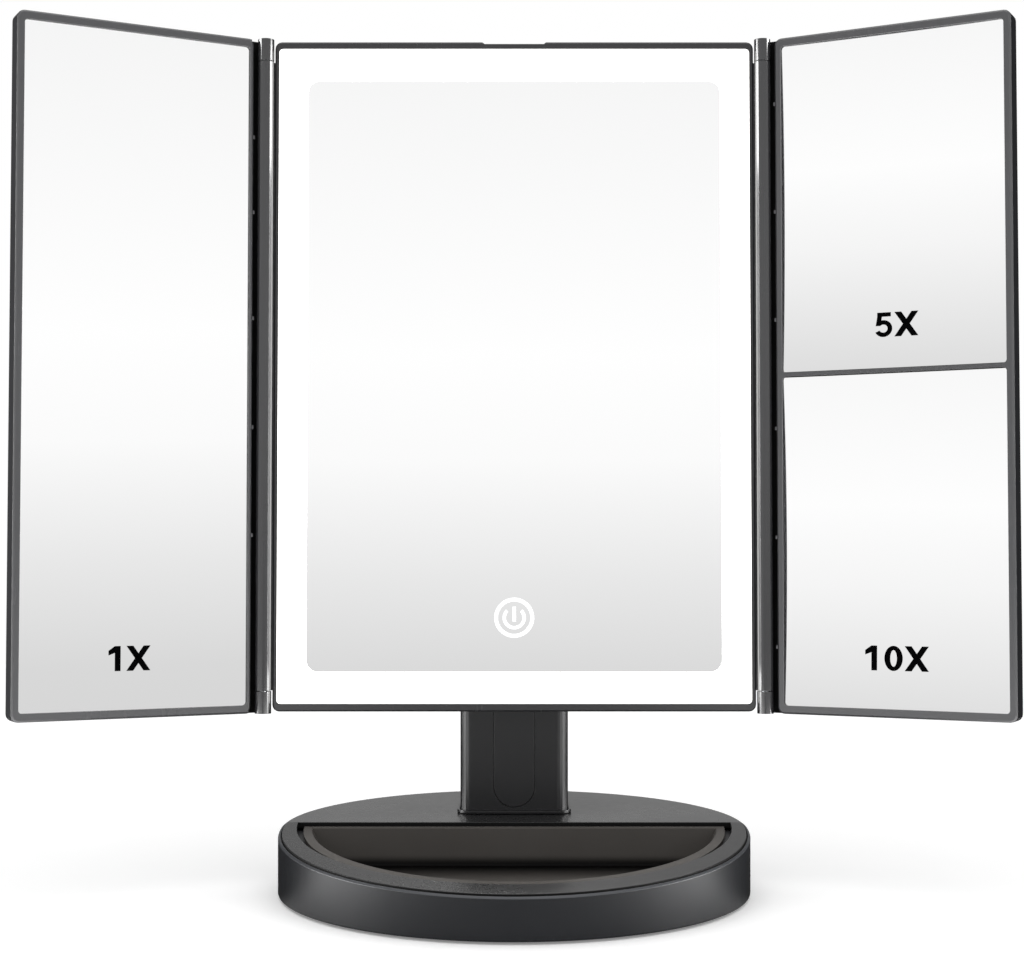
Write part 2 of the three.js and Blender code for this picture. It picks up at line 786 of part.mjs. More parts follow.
const mirrorHalfWidth = panelHalfWidth - mirrorSideInset;
const mirrorHalfHeight = panelHalfHeight - mirrorEndInset;
const touchZ = touchRise - mirrorHalfHeight;
const hingeX = panelHalfWidth + hingeOutset;
const wingHalfHeight = panelHalfHeight + wingOverhang;
const pressRibX = panelHalfWidth - pressRibInset;
const pressRibHalf = mirrorHalfHeight - pressRibEndGap;
const windowHalfWidth = panelHalfWidth - panelRimSide;
const windowTop = panelHalfHeight - panelRimTop;
const windowBottom = -panelHalfHeight + panelRimBottom;
const glassFront = frameLipDepth + seat;
const glassBack = glassFront + glassThickness;
const platformFront = glassBack + seat;
const cornerPilotFront = platformFront + bossSkin;
const counterboreFront = panelDepth - counterboreDepth;
const flangeFront = glassFront + flangeSetBack;
const flangeBack = flangeFront + reflectorSheet;
const boardFront = platformFront + reflectorSheet + seat;
const coverInside = panelDepth - coverBack;

// A rounded outline as large as the frame's window, grown on every side.
function windowOutline(growth, corner = windowCorner) {
  return roundedRectangle(
    2 * (windowHalfWidth + growth), windowTop - windowBottom + 2 * growth, corner,
    0, (windowTop + windowBottom) / 2);
}

function cornerPlaces() {
  const x = panelHalfWidth - cornerInset;
  const z = panelHalfHeight - cornerInset - frameLip;
  return [[-x, z], [x, z], [-x, -z], [x, -z]];
}

// The frame carries a fixed barrel at each side, between the wings' knuckles.
function centreFrame() {
  const outline = roundedRectangle(2 * panelHalfWidth, 2 * panelHalfHeight, panelCorner);
  const block = chamferedSheet(outline, 0, frameDepth + edgeBevel, edgeBevel);
  const trimmed = cut(block, box(-far, far, frameDepth, far, -far, far));
  const hollow = cut(
    trimmed, sheet(windowOutline(0), -overrun, frameDepth + overrun),
    sheet(windowOutline(frameLip), frameLipDepth, frameDepth + overrun));
  const notchFloor = panelHalfHeight - notchDepth;
  const notchTop = panelHalfHeight + notchDepth;
  const notch = sheet(
    polygon(
      [-notchWidth / 2, notchFloor], [notchWidth / 2, notchFloor],
      [notchWidth / 2 + 2 * notchDepth, notchTop], [-notchWidth / 2 - 2 * notchDepth, notchTop]),
    -overrun, notchReach);
  const bosses = cornerPlaces().map(([x, z]) => rod(
    cornerBossRadius, [x, platformFront, z], [x, frameDepth, z]));
  const pilots = cornerPlaces().map(([x, z]) => rod(
    screwShank + boltGap, [x, cornerPilotFront, z], [x, panelDepth, z], pilotSides));
  const barrelHalf = wingHalfHeight - knuckleHeight - seat;
  const barrels = [-1, 1].map((side) => {
    const x = side * hingeX;
    const inner = side * (panelHalfWidth - panelRimSide / 2);
    return join(
      rod(barrelRadius, [x, -hingeForward, -barrelHalf], [x, -hingeForward, barrelHalf], barrelSides),
      box(
        Math.min(x, inner), Math.max(x, inner), edgeBevel, barrelRadius - hingeForward,
        -barrelHalf, barrelHalf));
  });
  const pinBores = [-1, 1].flatMap((side) => [-1, 1].map((end) => rod(
    hingePinRadius + boltGap,
    [side * hingeX, -hingeForward, end * (barrelHalf - hingePinReach)],
    [side * hingeX, -hingeForward, end * wingHalfHeight], 10)));
  return cut(join(hollow, ...bosses, ...barrels), notch, ...pilots, ...pinBores);
}

function mirrorOutline(growth) {
  return roundedRectangle(
    2 * (mirrorHalfWidth + growth), 2 * (mirrorHalfHeight + growth), mirrorCorner + growth);
}

function lightDiffuser() {
  return sheet(
    withHoles(windowOutline(frameLip - seat), mirrorOutline(seat)), glassFront, glassBack, 3);
}

// A white plate with a raised middle that backs the glass; the LED strips lie on its border.
function reflectorPlate() {
  const border = sheet(windowOutline(frameLip - seat), flangeFront, flangeBack);
  const raised = sheet(mirrorOutline(-platformMargin), platformFront, flangeBack);
  const hollow = sheet(
    mirrorOutline(-platformMargin - reflectorSheet), platformFront + reflectorSheet, flangeBack + overrun);
  const notches = cornerPlaces().map(([x, z]) => rod(
    cornerBossRadius + 2 * seat, [x, 0, z], [x, panelDepth, z]));
  const cornerCuts = cornerPlaces().map(([x, z]) => box(
    Math.min(x, 2 * x), Math.max(x, 2 * x), 0, panelDepth, Math.min(z, 2 * z), Math.max(z, 2 * z)));
  const padHole = rod(touchPadRadius + seat, [0, 0, touchZ], [0, panelDepth, touchZ]);
  return cut(join(border, raised), hollow, ...notches, ...cornerCuts, padHole);
}

// A board along z with its chips towards the glass.
function ledStrip(length, chips) {
  const boardBack = flangeFront - seat;
  const boardTop = boardBack - stripThickness;
  const board = box(-stripWidth / 2, stripWidth / 2, boardTop, boardBack, -length / 2, length / 2);
  const pitch = length / chips;
  const row = [];
  for (let i = 0; i < chips; i++) {
    const z = (i + 0.5) * pitch - length / 2;
    row.push(box(
      -chipWidth / 2, chipWidth / 2, boardTop - chipHeight, boardTop + bite,
      z - chipLength / 2, z + chipLength / 2));
  }
  return join(board, ...row);
}

function controlBoard() {
  const back = boardFront + boardThickness;
  const bottom = touchZ - boardHeight / 2;
  const plate = box(
    boardX - boardWidth / 2, boardX + boardWidth / 2, boardFront, back, bottom, bottom + boardHeight);
  const parts = boardParts.map(({ across, up, wide, high, rise }) => box(
    boardX + boardWidth * (across - wide / 2), boardX + boardWidth * (across + wide / 2),
    back - bite, back + boardThickness * rise,
    touchZ + boardHeight * (up - high / 2), touchZ + boardHeight * (up + high / 2)));
  return join(plate, ...parts);
}

function socketOutline(growth) {
  const height = socketHeight + 2 * growth;
  return roundedRectangle(
    socketWidth + 2 * growth, height, height / 2 - hair, socketX, touchZ - socketDrop);
}

function usbSocket() {
  const front = boardFront + boardThickness + seat;
  const shell = sheet(socketOutline(0), front, panelDepth);
  const mouth = sheet(socketOutline(-socketWall), front + socketFloor, panelDepth + overrun);
  const middle = touchZ - socketDrop;
  const tongue = box(
    socketX - tongueHalfWidth, socketX + tongueHalfWidth, front, panelDepth - tongueSetBack,
    middle - tongueThickness / 2, middle + tongueThickness / 2);
  return join(cut(shell, mouth), tongue);
}

// Rear cover with the battery compartment

const cellPitch = 2 * cellRadius + seat;
const batteryHalfWidth = (cellCount * cellPitch + seat) / 2;
const batteryHalfHeight = cellLength / 2 + contactThickness + 2 * seat;
const cellY = panelDepth + seat + cellRadius;
const doorFront = cellY + cellRadius + seat;
const doorBack = doorFront + doorThickness;

function batteryOutline(growth) {
  return roundedRectangle(
    2 * (batteryHalfWidth + growth), 2 * (batteryHalfHeight + growth), batteryCorner + growth,
    0, batteryCentreZ);
}

function centreRearCover() {
  const outline = roundedRectangle(2 * panelHalfWidth, 2 * panelHalfHeight, panelCorner);
  const block = chamferedSheet(outline, frameDepth + seat - edgeBevel, panelDepth, edgeBevel);
  const shell = cut(block,
    box(-far, far, -far, frameDepth + seat, -far, far),
    sheet(windowOutline(panelRimSide - coverWall + frameLip), -overrun, coverInside));
  const compartment = chamferedSheet(
    batteryOutline(batteryWall), coverInside, doorBack, compartmentBevel);
  const ribs = [-pressRibX, pressRibX].map((x) => box(
    x - pressRibThickness / 2, x + pressRibThickness / 2, flangeBack + seat, coverInside + bite,
    -pressRibHalf, pressRibHalf));
  const cornerBosses = cornerPlaces().map(([x, z]) => rod(
    cornerBossRadius, [x, frameDepth + seat, z], [x, coverInside + bite, z]));
  const bracketBosses = [-bracketScrewX, bracketScrewX].map((x) => rod(
    cornerBossRadius, [x, bracketBossFront, axisZ], [x, coverInside + bite, axisZ]));
  const bracketPilots = [-bracketScrewX, bracketScrewX].map((x) => rod(
    screwShank + boltGap, [x, bracketBossFront + seat, axisZ], [x, 2 * panelDepth, axisZ], pilotSides));
  const screwHoles = cornerPlaces().map(([x, z]) => join(
    rod(screwShank + boltGap, [x, 0, z], [x, 2 * panelDepth, z], pilotSides),
    rod(screwHead + boltGap, [x, counterboreFront, z], [x, 2 * panelDepth, z])));
  const socketHole = sheet(socketOutline(seat), coverInside - overrun, panelDepth + overrun);
  const compartmentHollow = sheet(batteryOutline(0), panelDepth, doorBack + overrun);
  const lidSeat = sheet(batteryOutline(batteryWall / 2), doorFront - seat, doorBack + overrun);
  return cut(
    join(shell, compartment, ...ribs, ...cornerBosses, ...bracketBosses),
    compartmentHollow, lidSeat, socketHole, ...bracketPilots, ...screwHoles);
}

function batteryDoor() {
  const lid = sheet(batteryOutline(batteryWall / 2 - seat), doorFront, doorBack);
  const thumbY = doorBack + thumbRadius - thumbDepth;
  const thumbTop = batteryCentreZ + batteryHalfHeight - thumbInset;
  const thumb = rod(thumbRadius, [0, thumbY, thumbTop - thumbLength], [0, thumbY, thumbTop], 20);
  return cut(lid, thumb);
}

function batteryCell(i) {
  const x = (i - (cellCount - 1) / 2) * cellPitch;
  const up = i % 2 === 0 ? 1 : -1;
  const bottom = batteryCentreZ - up * cellLength / 2;
  const top = batteryCentreZ + up * cellLength / 2;
  return join(
    rod(cellRadius, [x, cellY, bottom], [x, cellY, top - up * nubLength], 16),
    rod(nubRadius, [x, cellY, batteryCentreZ], [x, cellY, top], 8));
}

function batteryContact(end) {
  const inner = batteryCentreZ + end * (cellLength / 2 + seat);
  const outer = inner + end * contactThickness;
  return box(
    contactInset - batteryHalfWidth, batteryHalfWidth - contactInset, panelDepth + seat, doorFront - seat,
    Math.min(inner, outer), Math.max(inner, outer));
}

add(panel, 'centre_frame', centreFrame(), frameGrey);
add(panel, 'centre_rear_cover', centreRearCover(), blackPlastic);
add(panel, 'centre_mirror_glass', sheet(mirrorOutline(0), glassFront, glassBack, 3), mirrorSilver);
add(panel, 'light_diffuser', lightDiffuser(), opal);
add(panel, 'reflector_plate', reflectorPlate(), whitePlastic);

const bandMiddleX = (windowHalfWidth + mirrorHalfWidth) / 2;
const bandMiddleZ = (windowTop + mirrorHalfHeight) / 2;
const endStrip = ledStrip(2 * (mirrorHalfWidth - endStripGap), endChips).rotateY(Math.PI / 2);
const sideStrip = ledStrip(2 * (mirrorHalfHeight - sideStripGap), sideChips);
add(panel, 'led_strip_left', sideStrip.clone().translate(-bandMiddleX, 0, 0), whitePlastic);
add(panel, 'led_strip_right', sideStrip.clone().translate(bandMiddleX, 0, 0), whitePlastic);
add(panel, 'led_strip_top', endStrip.clone().translate(0, 0, bandMiddleZ), whitePlastic);
add(panel, 'led_strip_bottom', endStrip.clone().translate(0, 0, -bandMiddleZ), whitePlastic);

add(panel, 'touch_sensor_pad',
  rod(touchPadRadius, [0, platformFront, touchZ], [0, boardFront - seat, touchZ]), copper);
add(panel, 'control_board', controlBoard(), boardGreen);
add(panel, 'usb_socket', usbSocket(), steel);
add(panel, 'battery_door', batteryDoor(), blackPlastic);
for (let i = 0; i < cellCount; i++) add(panel, `battery_cell_${i + 1}`, batteryCell(i), cellWrap);
add(panel, 'battery_contact_top', batteryContact(1), steel);
add(panel, 'battery_contact_bottom', batteryContact(-1), steel);
cornerPlaces().forEach(([x, z], i) => {
  const headFace = counterboreFront + seat + screwHeadHeight;
  add(panel, `rear_screw_${i + 1}`, screw([x, headFace, z], [x, cornerPilotFront + seat, z]), steel);
});

// Wings, drawn for the right side with the hinge axis at x = 0, y = 0

const wingFront = hingeForward;
const wingOuter = hingeX - wingMeetGap;
const wingWidth = wingOuter - wingInner;
const wingMiddle = (wingOuter + wingInner) / 2;
const glassInner = wingInner + wingRimInner;
const glassOuter = wingOuter - wingRimOuter;
const glassHalfHeight = wingHalfHeight - wingRimEnds;
const wingGlassFront = wingFront + wingLipDepth + seat;
const pocketInner = glassInner - wingLip + seat;
const pocketOuter = glassOuter + wingLip - seat;
const pocketHalfHeight = glassHalfHeight + wingLip - seat;
const leafBack = leafSetBack + leafThickness;
const leafOuter = (wingInner + glassInner - wingLip) / 2;

const dividerBottom = dividerZ - dividerWidth / 2;
const dividerTop = dividerZ + dividerWidth / 2;
const wholeWindow = [{ bottom: -glassHalfHeight, top: glassHalfHeight }];
const twoWindows = [
  { bottom: -glassHalfHeight, top: dividerBottom },
  { bottom: dividerTop, top: glassHalfHeight },
];
const fiveTimes = { bottom: dividerTop + seat, top: pocketHalfHeight, radius: fiveTimesRadius };
const tenTimes = { bottom: -pocketHalfHeight, top: dividerBottom - seat, radius: tenTimesRadius };

// How much deeper a magnifying glass is in its middle than at its corners
function sagOf({ bottom, top, radius }) {
  const span = Math.hypot((pocketOuter - pocketInner) / 2, (top - bottom) / 2);
  return radius - Math.sqrt(radius ** 2 - span ** 2);
}

// The wings are as deep as the deeper magnifying glass needs.
const deepestSag = Math.max(sagOf(fiveTimes), sagOf(tenTimes));
const backFrontY = wingGlassFront + deepestSag + magnifierThickness + seat;
const wingBackY = backFrontY + wingBack;
const backSeatY = backFrontY - seat;

function wingRectangle(inner, outer, bottom, top, corner) {
  return roundedRectangle(outer - inner, top - bottom, corner, (inner + outer) / 2, (bottom + top) / 2);
}

// The shell of a wing: rim, side walls, a leaf that passes behind the barrel, and two knuckles.
function wingFrame(windows) {
  const outline = roundedRectangle(wingWidth, 2 * wingHalfHeight, wingCorner, wingMiddle, 0);
  const block = chamferedSheet(outline, wingFront, wingBackY, wingBevel);
  const hollows = windows.map(({ bottom, top }) => join(
    sheet(
      wingRectangle(glassInner, glassOuter, bottom, top, wingGlassCorner),
      wingFront - overrun, wingBackY),
    sheet(wingRectangle(
      glassInner - wingLip, glassOuter + wingLip,
      bottom === -glassHalfHeight ? bottom - wingLip : bottom,
      top === glassHalfHeight ? top + wingLip : top, wingPocketCorner),
    wingFront + wingLipDepth, backSeatY)));
  const backPocket = sheet(
    wingRectangle(
      glassInner - wingLip, glassOuter + wingLip, -glassHalfHeight - wingLip, glassHalfHeight + wingLip,
      wingPocketCorner),
    backSeatY - bite, wingBackY + overrun);
  const leaf = box(
    leafInner, leafOuter, leafSetBack, leafBack, wingCorner - wingHalfHeight, wingHalfHeight - wingCorner);
  const knuckles = [-1, 1].map((end) => {
    const middle = end * (wingHalfHeight - knuckleHeight / 2);
    const [bottom, top] = [middle - knuckleHeight / 2, middle + knuckleHeight / 2];
    return join(
      rod(barrelRadius, [0, 0, bottom], [0, 0, top], barrelSides),
      box(-leafWebHalf, leafWebHalf, barrelRadius / 2, leafBack, bottom, top),
      box(-leafWebHalf, leafOuter, leafSetBack, leafBack, bottom, top));
  });
  const bores = [-1, 1].map((end) => rod(
    hingePinRadius + boltGap, [0, 0, end * (wingHalfHeight - knuckleHeight - overrun)],
    [0, 0, end * (wingHalfHeight - knuckleCap)], pilotSides));
  return cut(join(cut(block, ...hollows, backPocket), leaf, ...knuckles), ...bores);
}

// The outline of what lies in a wing's pocket.
function pocketOutline() {
  return wingRectangle(pocketInner, pocketOuter, -pocketHalfHeight, pocketHalfHeight, wingPocketCorner);
}

function flatGlass() {
  return sheet(pocketOutline(), wingGlassFront, wingGlassFront + wingGlass);
}

// A flat back with ribs that reach forward to the glass.
function flatGlassBack() {
  const ribs = [pocketInner + backRibInset, pocketOuter - backRibInset].map((x) => box(
    x - backRib / 2, x + backRib / 2, wingGlassFront + wingGlass + seat, backFrontY + bite,
    backRibInset - pocketHalfHeight, pocketHalfHeight - backRibInset));
  return join(sheet(pocketOutline(), backFrontY, wingBackY), ...ribs);
}

// A magnifying glass: both faces are parts of spheres, deepest in the middle.
function magnifier({ bottom, top, radius }) {
  const [halfWidth, halfHeight] = [(pocketOuter - pocketInner) / 2, (top - bottom) / 2];
  const [middleX, middleZ] = [(pocketOuter + pocketInner) / 2, (top + bottom) / 2];
  const rise = Math.sqrt(radius ** 2 - halfWidth ** 2 - halfHeight ** 2);
  const depthAt = (x, z) => Math.sqrt(radius ** 2 - (x - middleX) ** 2 - (z - middleZ) ** 2) - rise;
  const [columns, rows] = [6, 8];
  const levels = [];
  for (let row = 0; row <= rows; row++) {
    const z = middleZ - halfHeight + 2 * halfHeight * row / rows;
    const outline = [];
    for (let i = 0; i <= columns; i++) {
      const x = pocketInner + 2 * halfWidth * i / columns;
      outline.push(new THREE.Vector2(x, wingGlassFront + depthAt(x, z)));
    }
    for (let i = columns; i >= 0; i--) {
      const x = pocketInner + 2 * halfWidth * i / columns;
      outline.push(new THREE.Vector2(x, wingGlassFront + magnifierThickness + depthAt(x, z)));
    }
    levels.push({ outline, z });
  }
  return loft(levels);
}

// A flat back with a post behind the deepest point of each magnifying glass.
function magnifierBack(glasses) {
  const posts = glasses.map((glass) => {
    const [x, z] = [(pocketOuter + pocketInner) / 2, (glass.top + glass.bottom) / 2];
    const tipY = wingGlassFront + sagOf(glass) + magnifierThickness + seat;
    return rod(backPostRadius, [x, tipY, z], [x, wingBackY - wingBack / 2, z]);
  });
  return join(sheet(pocketOutline(), backFrontY, wingBackY), ...posts);
}

function hingePin(end) {
  const inner = end * (wingHalfHeight - knuckleHeight - hingePinReach + seat);
  return rod(hingePinRadius, [0, 0, inner], [0, 0, end * (wingHalfHeight - knuckleCap - seat)]);
}

add(leftWing, 'left_wing_frame', mirrored(wingFrame(wholeWindow)), wingGrey);
add(leftWing, 'left_wing_back', mirrored(flatGlassBack()), blackPlastic);
add(leftWing, 'left_glass_1x', mirrored(flatGlass()), mirrorSilver);
add(leftWing, 'left_upper_pin', hingePin(1), steel);
add(leftWing, 'left_lower_pin', hingePin(-1), steel);
add(rightWing, 'right_wing_frame', wingFrame(twoWindows), wingGrey);
add(rightWing, 'right_wing_back', magnifierBack([fiveTimes, tenTimes]), blackPlastic);
add(rightWing, 'right_glass_5x', magnifier(fiveTimes), mirrorSilver);
add(rightWing, 'right_glass_10x', magnifier(tenTimes), mirrorSilver);
add(rightWing, 'right_upper_pin', hingePin(1), steel);
add(rightWing, 'right_lower_pin', hingePin(-1), steel);

// Places

tilt.position.set(0, stemMiddleY, tiltHeight);
tilt.rotation.x = -THREE.MathUtils.degToRad(leanBack);
panel.position.set(0, -panelBeforeTilt, panelAboveTilt);
leftWing.position.set(-hingeX, -hingeForward, 0);
leftWing.rotation.z = THREE.MathUtils.degToRad(wingAngle);
rightWing.position.set(hingeX, -hingeForward, 0);
rightWing.rotation.z = -THREE.MathUtils.degToRad(wingAngle);

mirror.add(tilt);
tilt.add(panel);
panel.add(leftWing);
panel.add(rightWing);

export default mirror;
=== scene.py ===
import math

import bmesh
import bpy
from mathutils import Matrix, Vector


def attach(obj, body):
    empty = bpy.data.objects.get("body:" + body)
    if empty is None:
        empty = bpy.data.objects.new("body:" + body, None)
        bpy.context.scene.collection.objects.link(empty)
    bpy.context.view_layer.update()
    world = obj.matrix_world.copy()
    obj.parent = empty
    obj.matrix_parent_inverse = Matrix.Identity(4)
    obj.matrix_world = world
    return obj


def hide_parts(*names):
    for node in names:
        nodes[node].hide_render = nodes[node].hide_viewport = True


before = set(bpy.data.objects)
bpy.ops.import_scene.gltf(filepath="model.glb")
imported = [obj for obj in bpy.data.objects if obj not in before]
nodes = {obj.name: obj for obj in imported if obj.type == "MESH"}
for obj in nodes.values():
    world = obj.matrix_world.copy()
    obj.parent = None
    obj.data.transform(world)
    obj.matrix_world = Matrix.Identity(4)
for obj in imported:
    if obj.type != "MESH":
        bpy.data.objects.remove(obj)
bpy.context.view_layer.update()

# Sizes are in millimetres, as on the drawing, and finished meshes are in metres.
MM = 0.001
SAME_PLACE = 1e-4
MERGE_REACH = 1e-3

# Base and tray
BASE_RADIUS = 101.0
BASE_HEIGHT = 27.9
BASE_FRONT_HEIGHT = 19.0
BASE_STEPS = 192
FOOT_LIFT = 1.0
BASE_WALL = 2.4
WALL_FOOT = ((0.8, 0.0), (0.25, 0.25), (0.0, 0.9))
RIM_LAND = 1.2
RIM_CHAMFER = 0.7
RIM_CORNER = 0.12
RIM_CORNER_DROP = 0.05
RIM_STEP = 0.8
COVER_SEAM = 0.4
COVER_THICKNESS = 2.4
COVER_EDGE = 0.4
TRAY_HALF_WIDTH = 94.0
TRAY_REACH = 94.5
TRAY_BACK_Y = 8.5
TRAY_FLOOR_Z = 9.6
TRAY_STEPS = 84
TRAY_RIM_DROP = 1.6
TRAY_FILLET = 2.0
TRAY_LIP = 0.45
TRAY_WALL = 1.8
LEDGE_THICKNESS = 1.6
LEDGE_EDGE = 0.15
TOP_SLOPE = (BASE_HEIGHT - BASE_FRONT_HEIGHT) / (BASE_RADIUS + TRAY_BACK_Y)

# How far the tray's outlines stand in from the opening, at the sides and at the back
TRAY_GAP = (2.9, 0.9)
TRAY_HOLLOW = (5.6, 3.2)
TRAY_FLOOR = (13.6, 4.2)
LEDGE_OUTSIDE = (-1.6, -1.6)
LEDGE_INSIDE = (4.4, 1.4)

# Stem
STEM_MIDDLE_Y = 42.0
TILT_HEIGHT = 150.0
INLAY_WIDTH = 17.9
INLAY_BOTTOM = 31.1
INLAY_TOP = 126.0
INLAY_FRONT = 30.1
INLAY_THICKNESS = 0.9
INLAY_EDGE = 0.22

# Centre panel and its touch mark
LEAN_BACK = 1.91
PANEL_BEFORE_TILT = 34.7
PANEL_ABOVE_TILT = 71.7
GLASS_FRONT = 1.2
TOUCH_Z = -105.9
MARK_RING = (8.7, 7.05)
MARK_ARC = (5.05, 3.6)
MARK_ARC_START = 135.0
MARK_ARC_SWEEP = 270.0
MARK_BAR_WIDTH = 1.5
MARK_BAR_HEIGHT = 6.4
MARK_BAR_RISE = 1.55

# Wings, each in a frame of its own whose upright axis is the hinge
CLEARANCE = 0.3
HINGE_X = 108.8
HINGE_FORWARD = 0.6
WING_ANGLE = 27.56
WING_GLASS_FRONT = 1.8
POCKET_INNER = 7.6
POCKET_OUTER = 105.8
POCKET_HALF_HEIGHT = 144.1
POCKET_EDGE = 0.5
OUTER_RIM = 1.5
DIVIDER_BOTTOM = -1.4
DIVIDER_TOP = 0.4
DIVIDER_DROP = 1.2
DIVIDER_THINNING = 0.2
SOLID_DIVIDER_MIDDLE = 0.6
SOLID_DIVIDER_REACH = (-6.0, 7.0)
LEFT_RIM = (7.0, 10.5)
LEFT_RIM_BACK = 5.2
LEFT_RIM_SHIFT = 1.1
MAGNIFIER_THICKNESS = 1.6
FIVE_TIMES_RADIUS = 1800.0
TEN_TIMES_RADIUS = 1400.0
FIVE_BOTTOM = DIVIDER_TOP + CLEARANCE
TEN_TOP = DIVIDER_BOTTOM - CLEARANCE

# Leaves, barrels and stops of the wing hinges
LEAF_OUTER = 5.2
LEAF_FRONT = 4.9
LEAF_DEPTH = 1.5
BARREL_RADIUS = 3.55
NUB_SIZE = (0.9, 0.9, 1.6)
NUB_Y = 1.0
NUB_EDGE = 0.15
LEFT_NUBS = (103.8, 70.8, 24.4, -23.1, -70.0)
RIGHT_NUBS = (118.4, 71.0, 23.7, -23.7, -71.0, -118.4)

# Printed figures
FIGURE_UNIT = 0.42
FIGURE_WIDTH = 0.45
FIGURE_TOP = 25.0
ONE_TIMES_AT = (-67.9, -127.3)
FIVE_TIMES_AT = (49.1, 13.9)
TEN_TIMES_AT = (43.4, -127.5)
INK = 0.04
INK_GAP = 0.01

# Screws and feet
SCREW_STEPS = 28
SCREW_FACE = 2.35
SCREW_HEAD = ((2.75, 0.18), (2.97, 0.6), (3.0, 1.25), (2.85, 1.6), (1.3, 1.6))
SCREW_POINT = ((1.3, 1.6), (0.9, 1.2), (0.35, 0.0), (0.0, 0.0))
CROSS_SIZE = 1.35
CROSS_ARM = 0.75
CROSS_CORNER = 0.6
CROSS_TAPER = 0.72
CROSS_DEPTH = 0.9
FOOT_STEPS = 48
FOOT_OUTER = 7.9
FOOT_SOLE = (
    (0, 0.15), (2.6, 0.15), (2.8, 0.5), (3.4, 0.5), (3.6, 0), (5.4, 0), (5.6, 0.4), (6.2, 0.4), (6.4, 0),
    (7.3, 0), (7.7, 0.12), (FOOT_OUTER, 0.45))

# Rounding of the solids that keep their shape, with angles in degrees
SHARP_ANGLE = 36.0
FLAT_ANGLE = 0.4
ARC_ANGLES = (12.0, 35.0)
ARC_LENGTH = 6.0
PIECE_EDGE = 0.2

# How far past a form a face's middle may lie and still have its finish
TEST_REACH = 0.2


def moved(x, y, z):
    return Matrix.Translation((x, y, z))


def turned(angle, axis):
    return Matrix.Rotation(math.radians(angle), 4, axis)


STANDING = Matrix.Identity(4)
PANEL = (
    moved(0, STEM_MIDDLE_Y, TILT_HEIGHT)
    @ turned(-LEAN_BACK, "X")
    @ moved(0, -PANEL_BEFORE_TILT, PANEL_ABOVE_TILT)
)
LEFT_WING = PANEL @ moved(-HINGE_X, -HINGE_FORWARD, 0) @ turned(WING_ANGLE, "Z")
RIGHT_WING = PANEL @ moved(HINGE_X, -HINGE_FORWARD, 0) @ turned(-WING_ANGLE, "Z")


# Node trees


def put(tree, kind, **settings):
    """A new shader node with the given settings."""
    made = tree.nodes.new(kind)
    for key, value in settings.items():
        setattr(made, key, value)
    return made


def join(tree, value, socket):
    """Sets an input to a value, or links it to another node's output."""
    if isinstance(value, bpy.types.NodeSocket):
        tree.links.new(value, socket)
    else:
        socket.default_value = value


def fill(made, **values):
    """Joins values to a node's inputs by name, with underscores for spaces."""
    for key, value in values.items():
        join(made.id_data, value, made.inputs[key.replace("_", " ")])
    return made


def new_group(name, takes, gives):
    """An empty shader group with number inputs and number outputs."""
    tree = bpy.data.node_groups.new(name, "ShaderNodeTree")
    for label, value in takes.items():
        socket = tree.interface.new_socket(label, in_out="INPUT", socket_type="NodeSocketFloat")
        socket.default_value = value
    for label in gives:
        tree.interface.new_socket(label, in_out="OUTPUT", socket_type="NodeSocketFloat")
    return tree, tree.nodes.new("NodeGroupInput"), tree.nodes.new("NodeGroupOutput")


def maths(tree, operation, first, second=0.0, clamp=False):
    made = put(tree, "ShaderNodeMath", operation=operation, use_clamp=clamp)
    join(tree, first, made.inputs[0])
    join(tree, second, made.inputs[1])
    return made.outputs[0]


def times(tree, first, second):
    return maths(tree, "MULTIPLY", first, second)


def spread_out(tree, value, low, high, to_low=0.0, to_high=1.0):
    """A smooth step from one value to another between two limits."""
    made = put(tree, "ShaderNodeMapRange", interpolation_type="SMOOTHSTEP")
    fill(made, Value=value, From_Min=low, From_Max=high, To_Min=to_low, To_Max=to_high)
    return made.outputs["Result"]


def mixed(tree, factor, first, second):
    """A blend of two colours."""
    made = put(tree, "ShaderNodeMix", data_type="RGBA")
    for index, value in ((0, factor), (6, first), (7, second)):
        join(tree, value, made.inputs[index])
    return made.outputs[2]


def tone_ramp(tree, value, low, high, tones):
    """Grey tones along a value, given as shares of the way from low to high, and brightnesses."""
    ramp = put(tree, "ShaderNodeValToRGB")
    stops = ramp.color_ramp.elements
    share = fill(put(tree, "ShaderNodeMapRange"), Value=value, From_Min=low, From_Max=high)
    tree.links.new(share.outputs["Result"], ramp.inputs[0])
    for index, (position, tone) in enumerate((tones[0], tones[-1]) + tones[1:-1]):
        stop = stops[index] if index < 2 else stops.new(position)
        stop.position = position
        stop.color = (tone, tone, tone, 1)
    return ramp.outputs[0]


def on_object(tree):
    """Places on the piece, in metres."""
    return put(tree, "ShaderNodeTexCoord").outputs["Object"]


def split(tree, vector):
    """The X, Y and Z of a vector."""
    return fill(put(tree, "ShaderNodeSeparateXYZ"), Vector=vector).outputs


def stretched(tree, place, scale):
    return fill(put(tree, "ShaderNodeMapping"), Vector=place, Scale=scale).outputs[0]


def noise(tree, place, scale, detail):
    """Cloudy values round 0.5, with a number of clouds per metre."""
    return fill(put(tree, "ShaderNodeTexNoise"), Vector=place, Scale=scale, Detail=detail).outputs["Fac"]


def bumped(tree, surface, height, strength, distance):
    bump = fill(put(tree, "ShaderNodeBump"), Height=height, Strength=strength, Distance=distance)
    fill(surface, Normal=bump.outputs[0])


# Effects that several finishes share


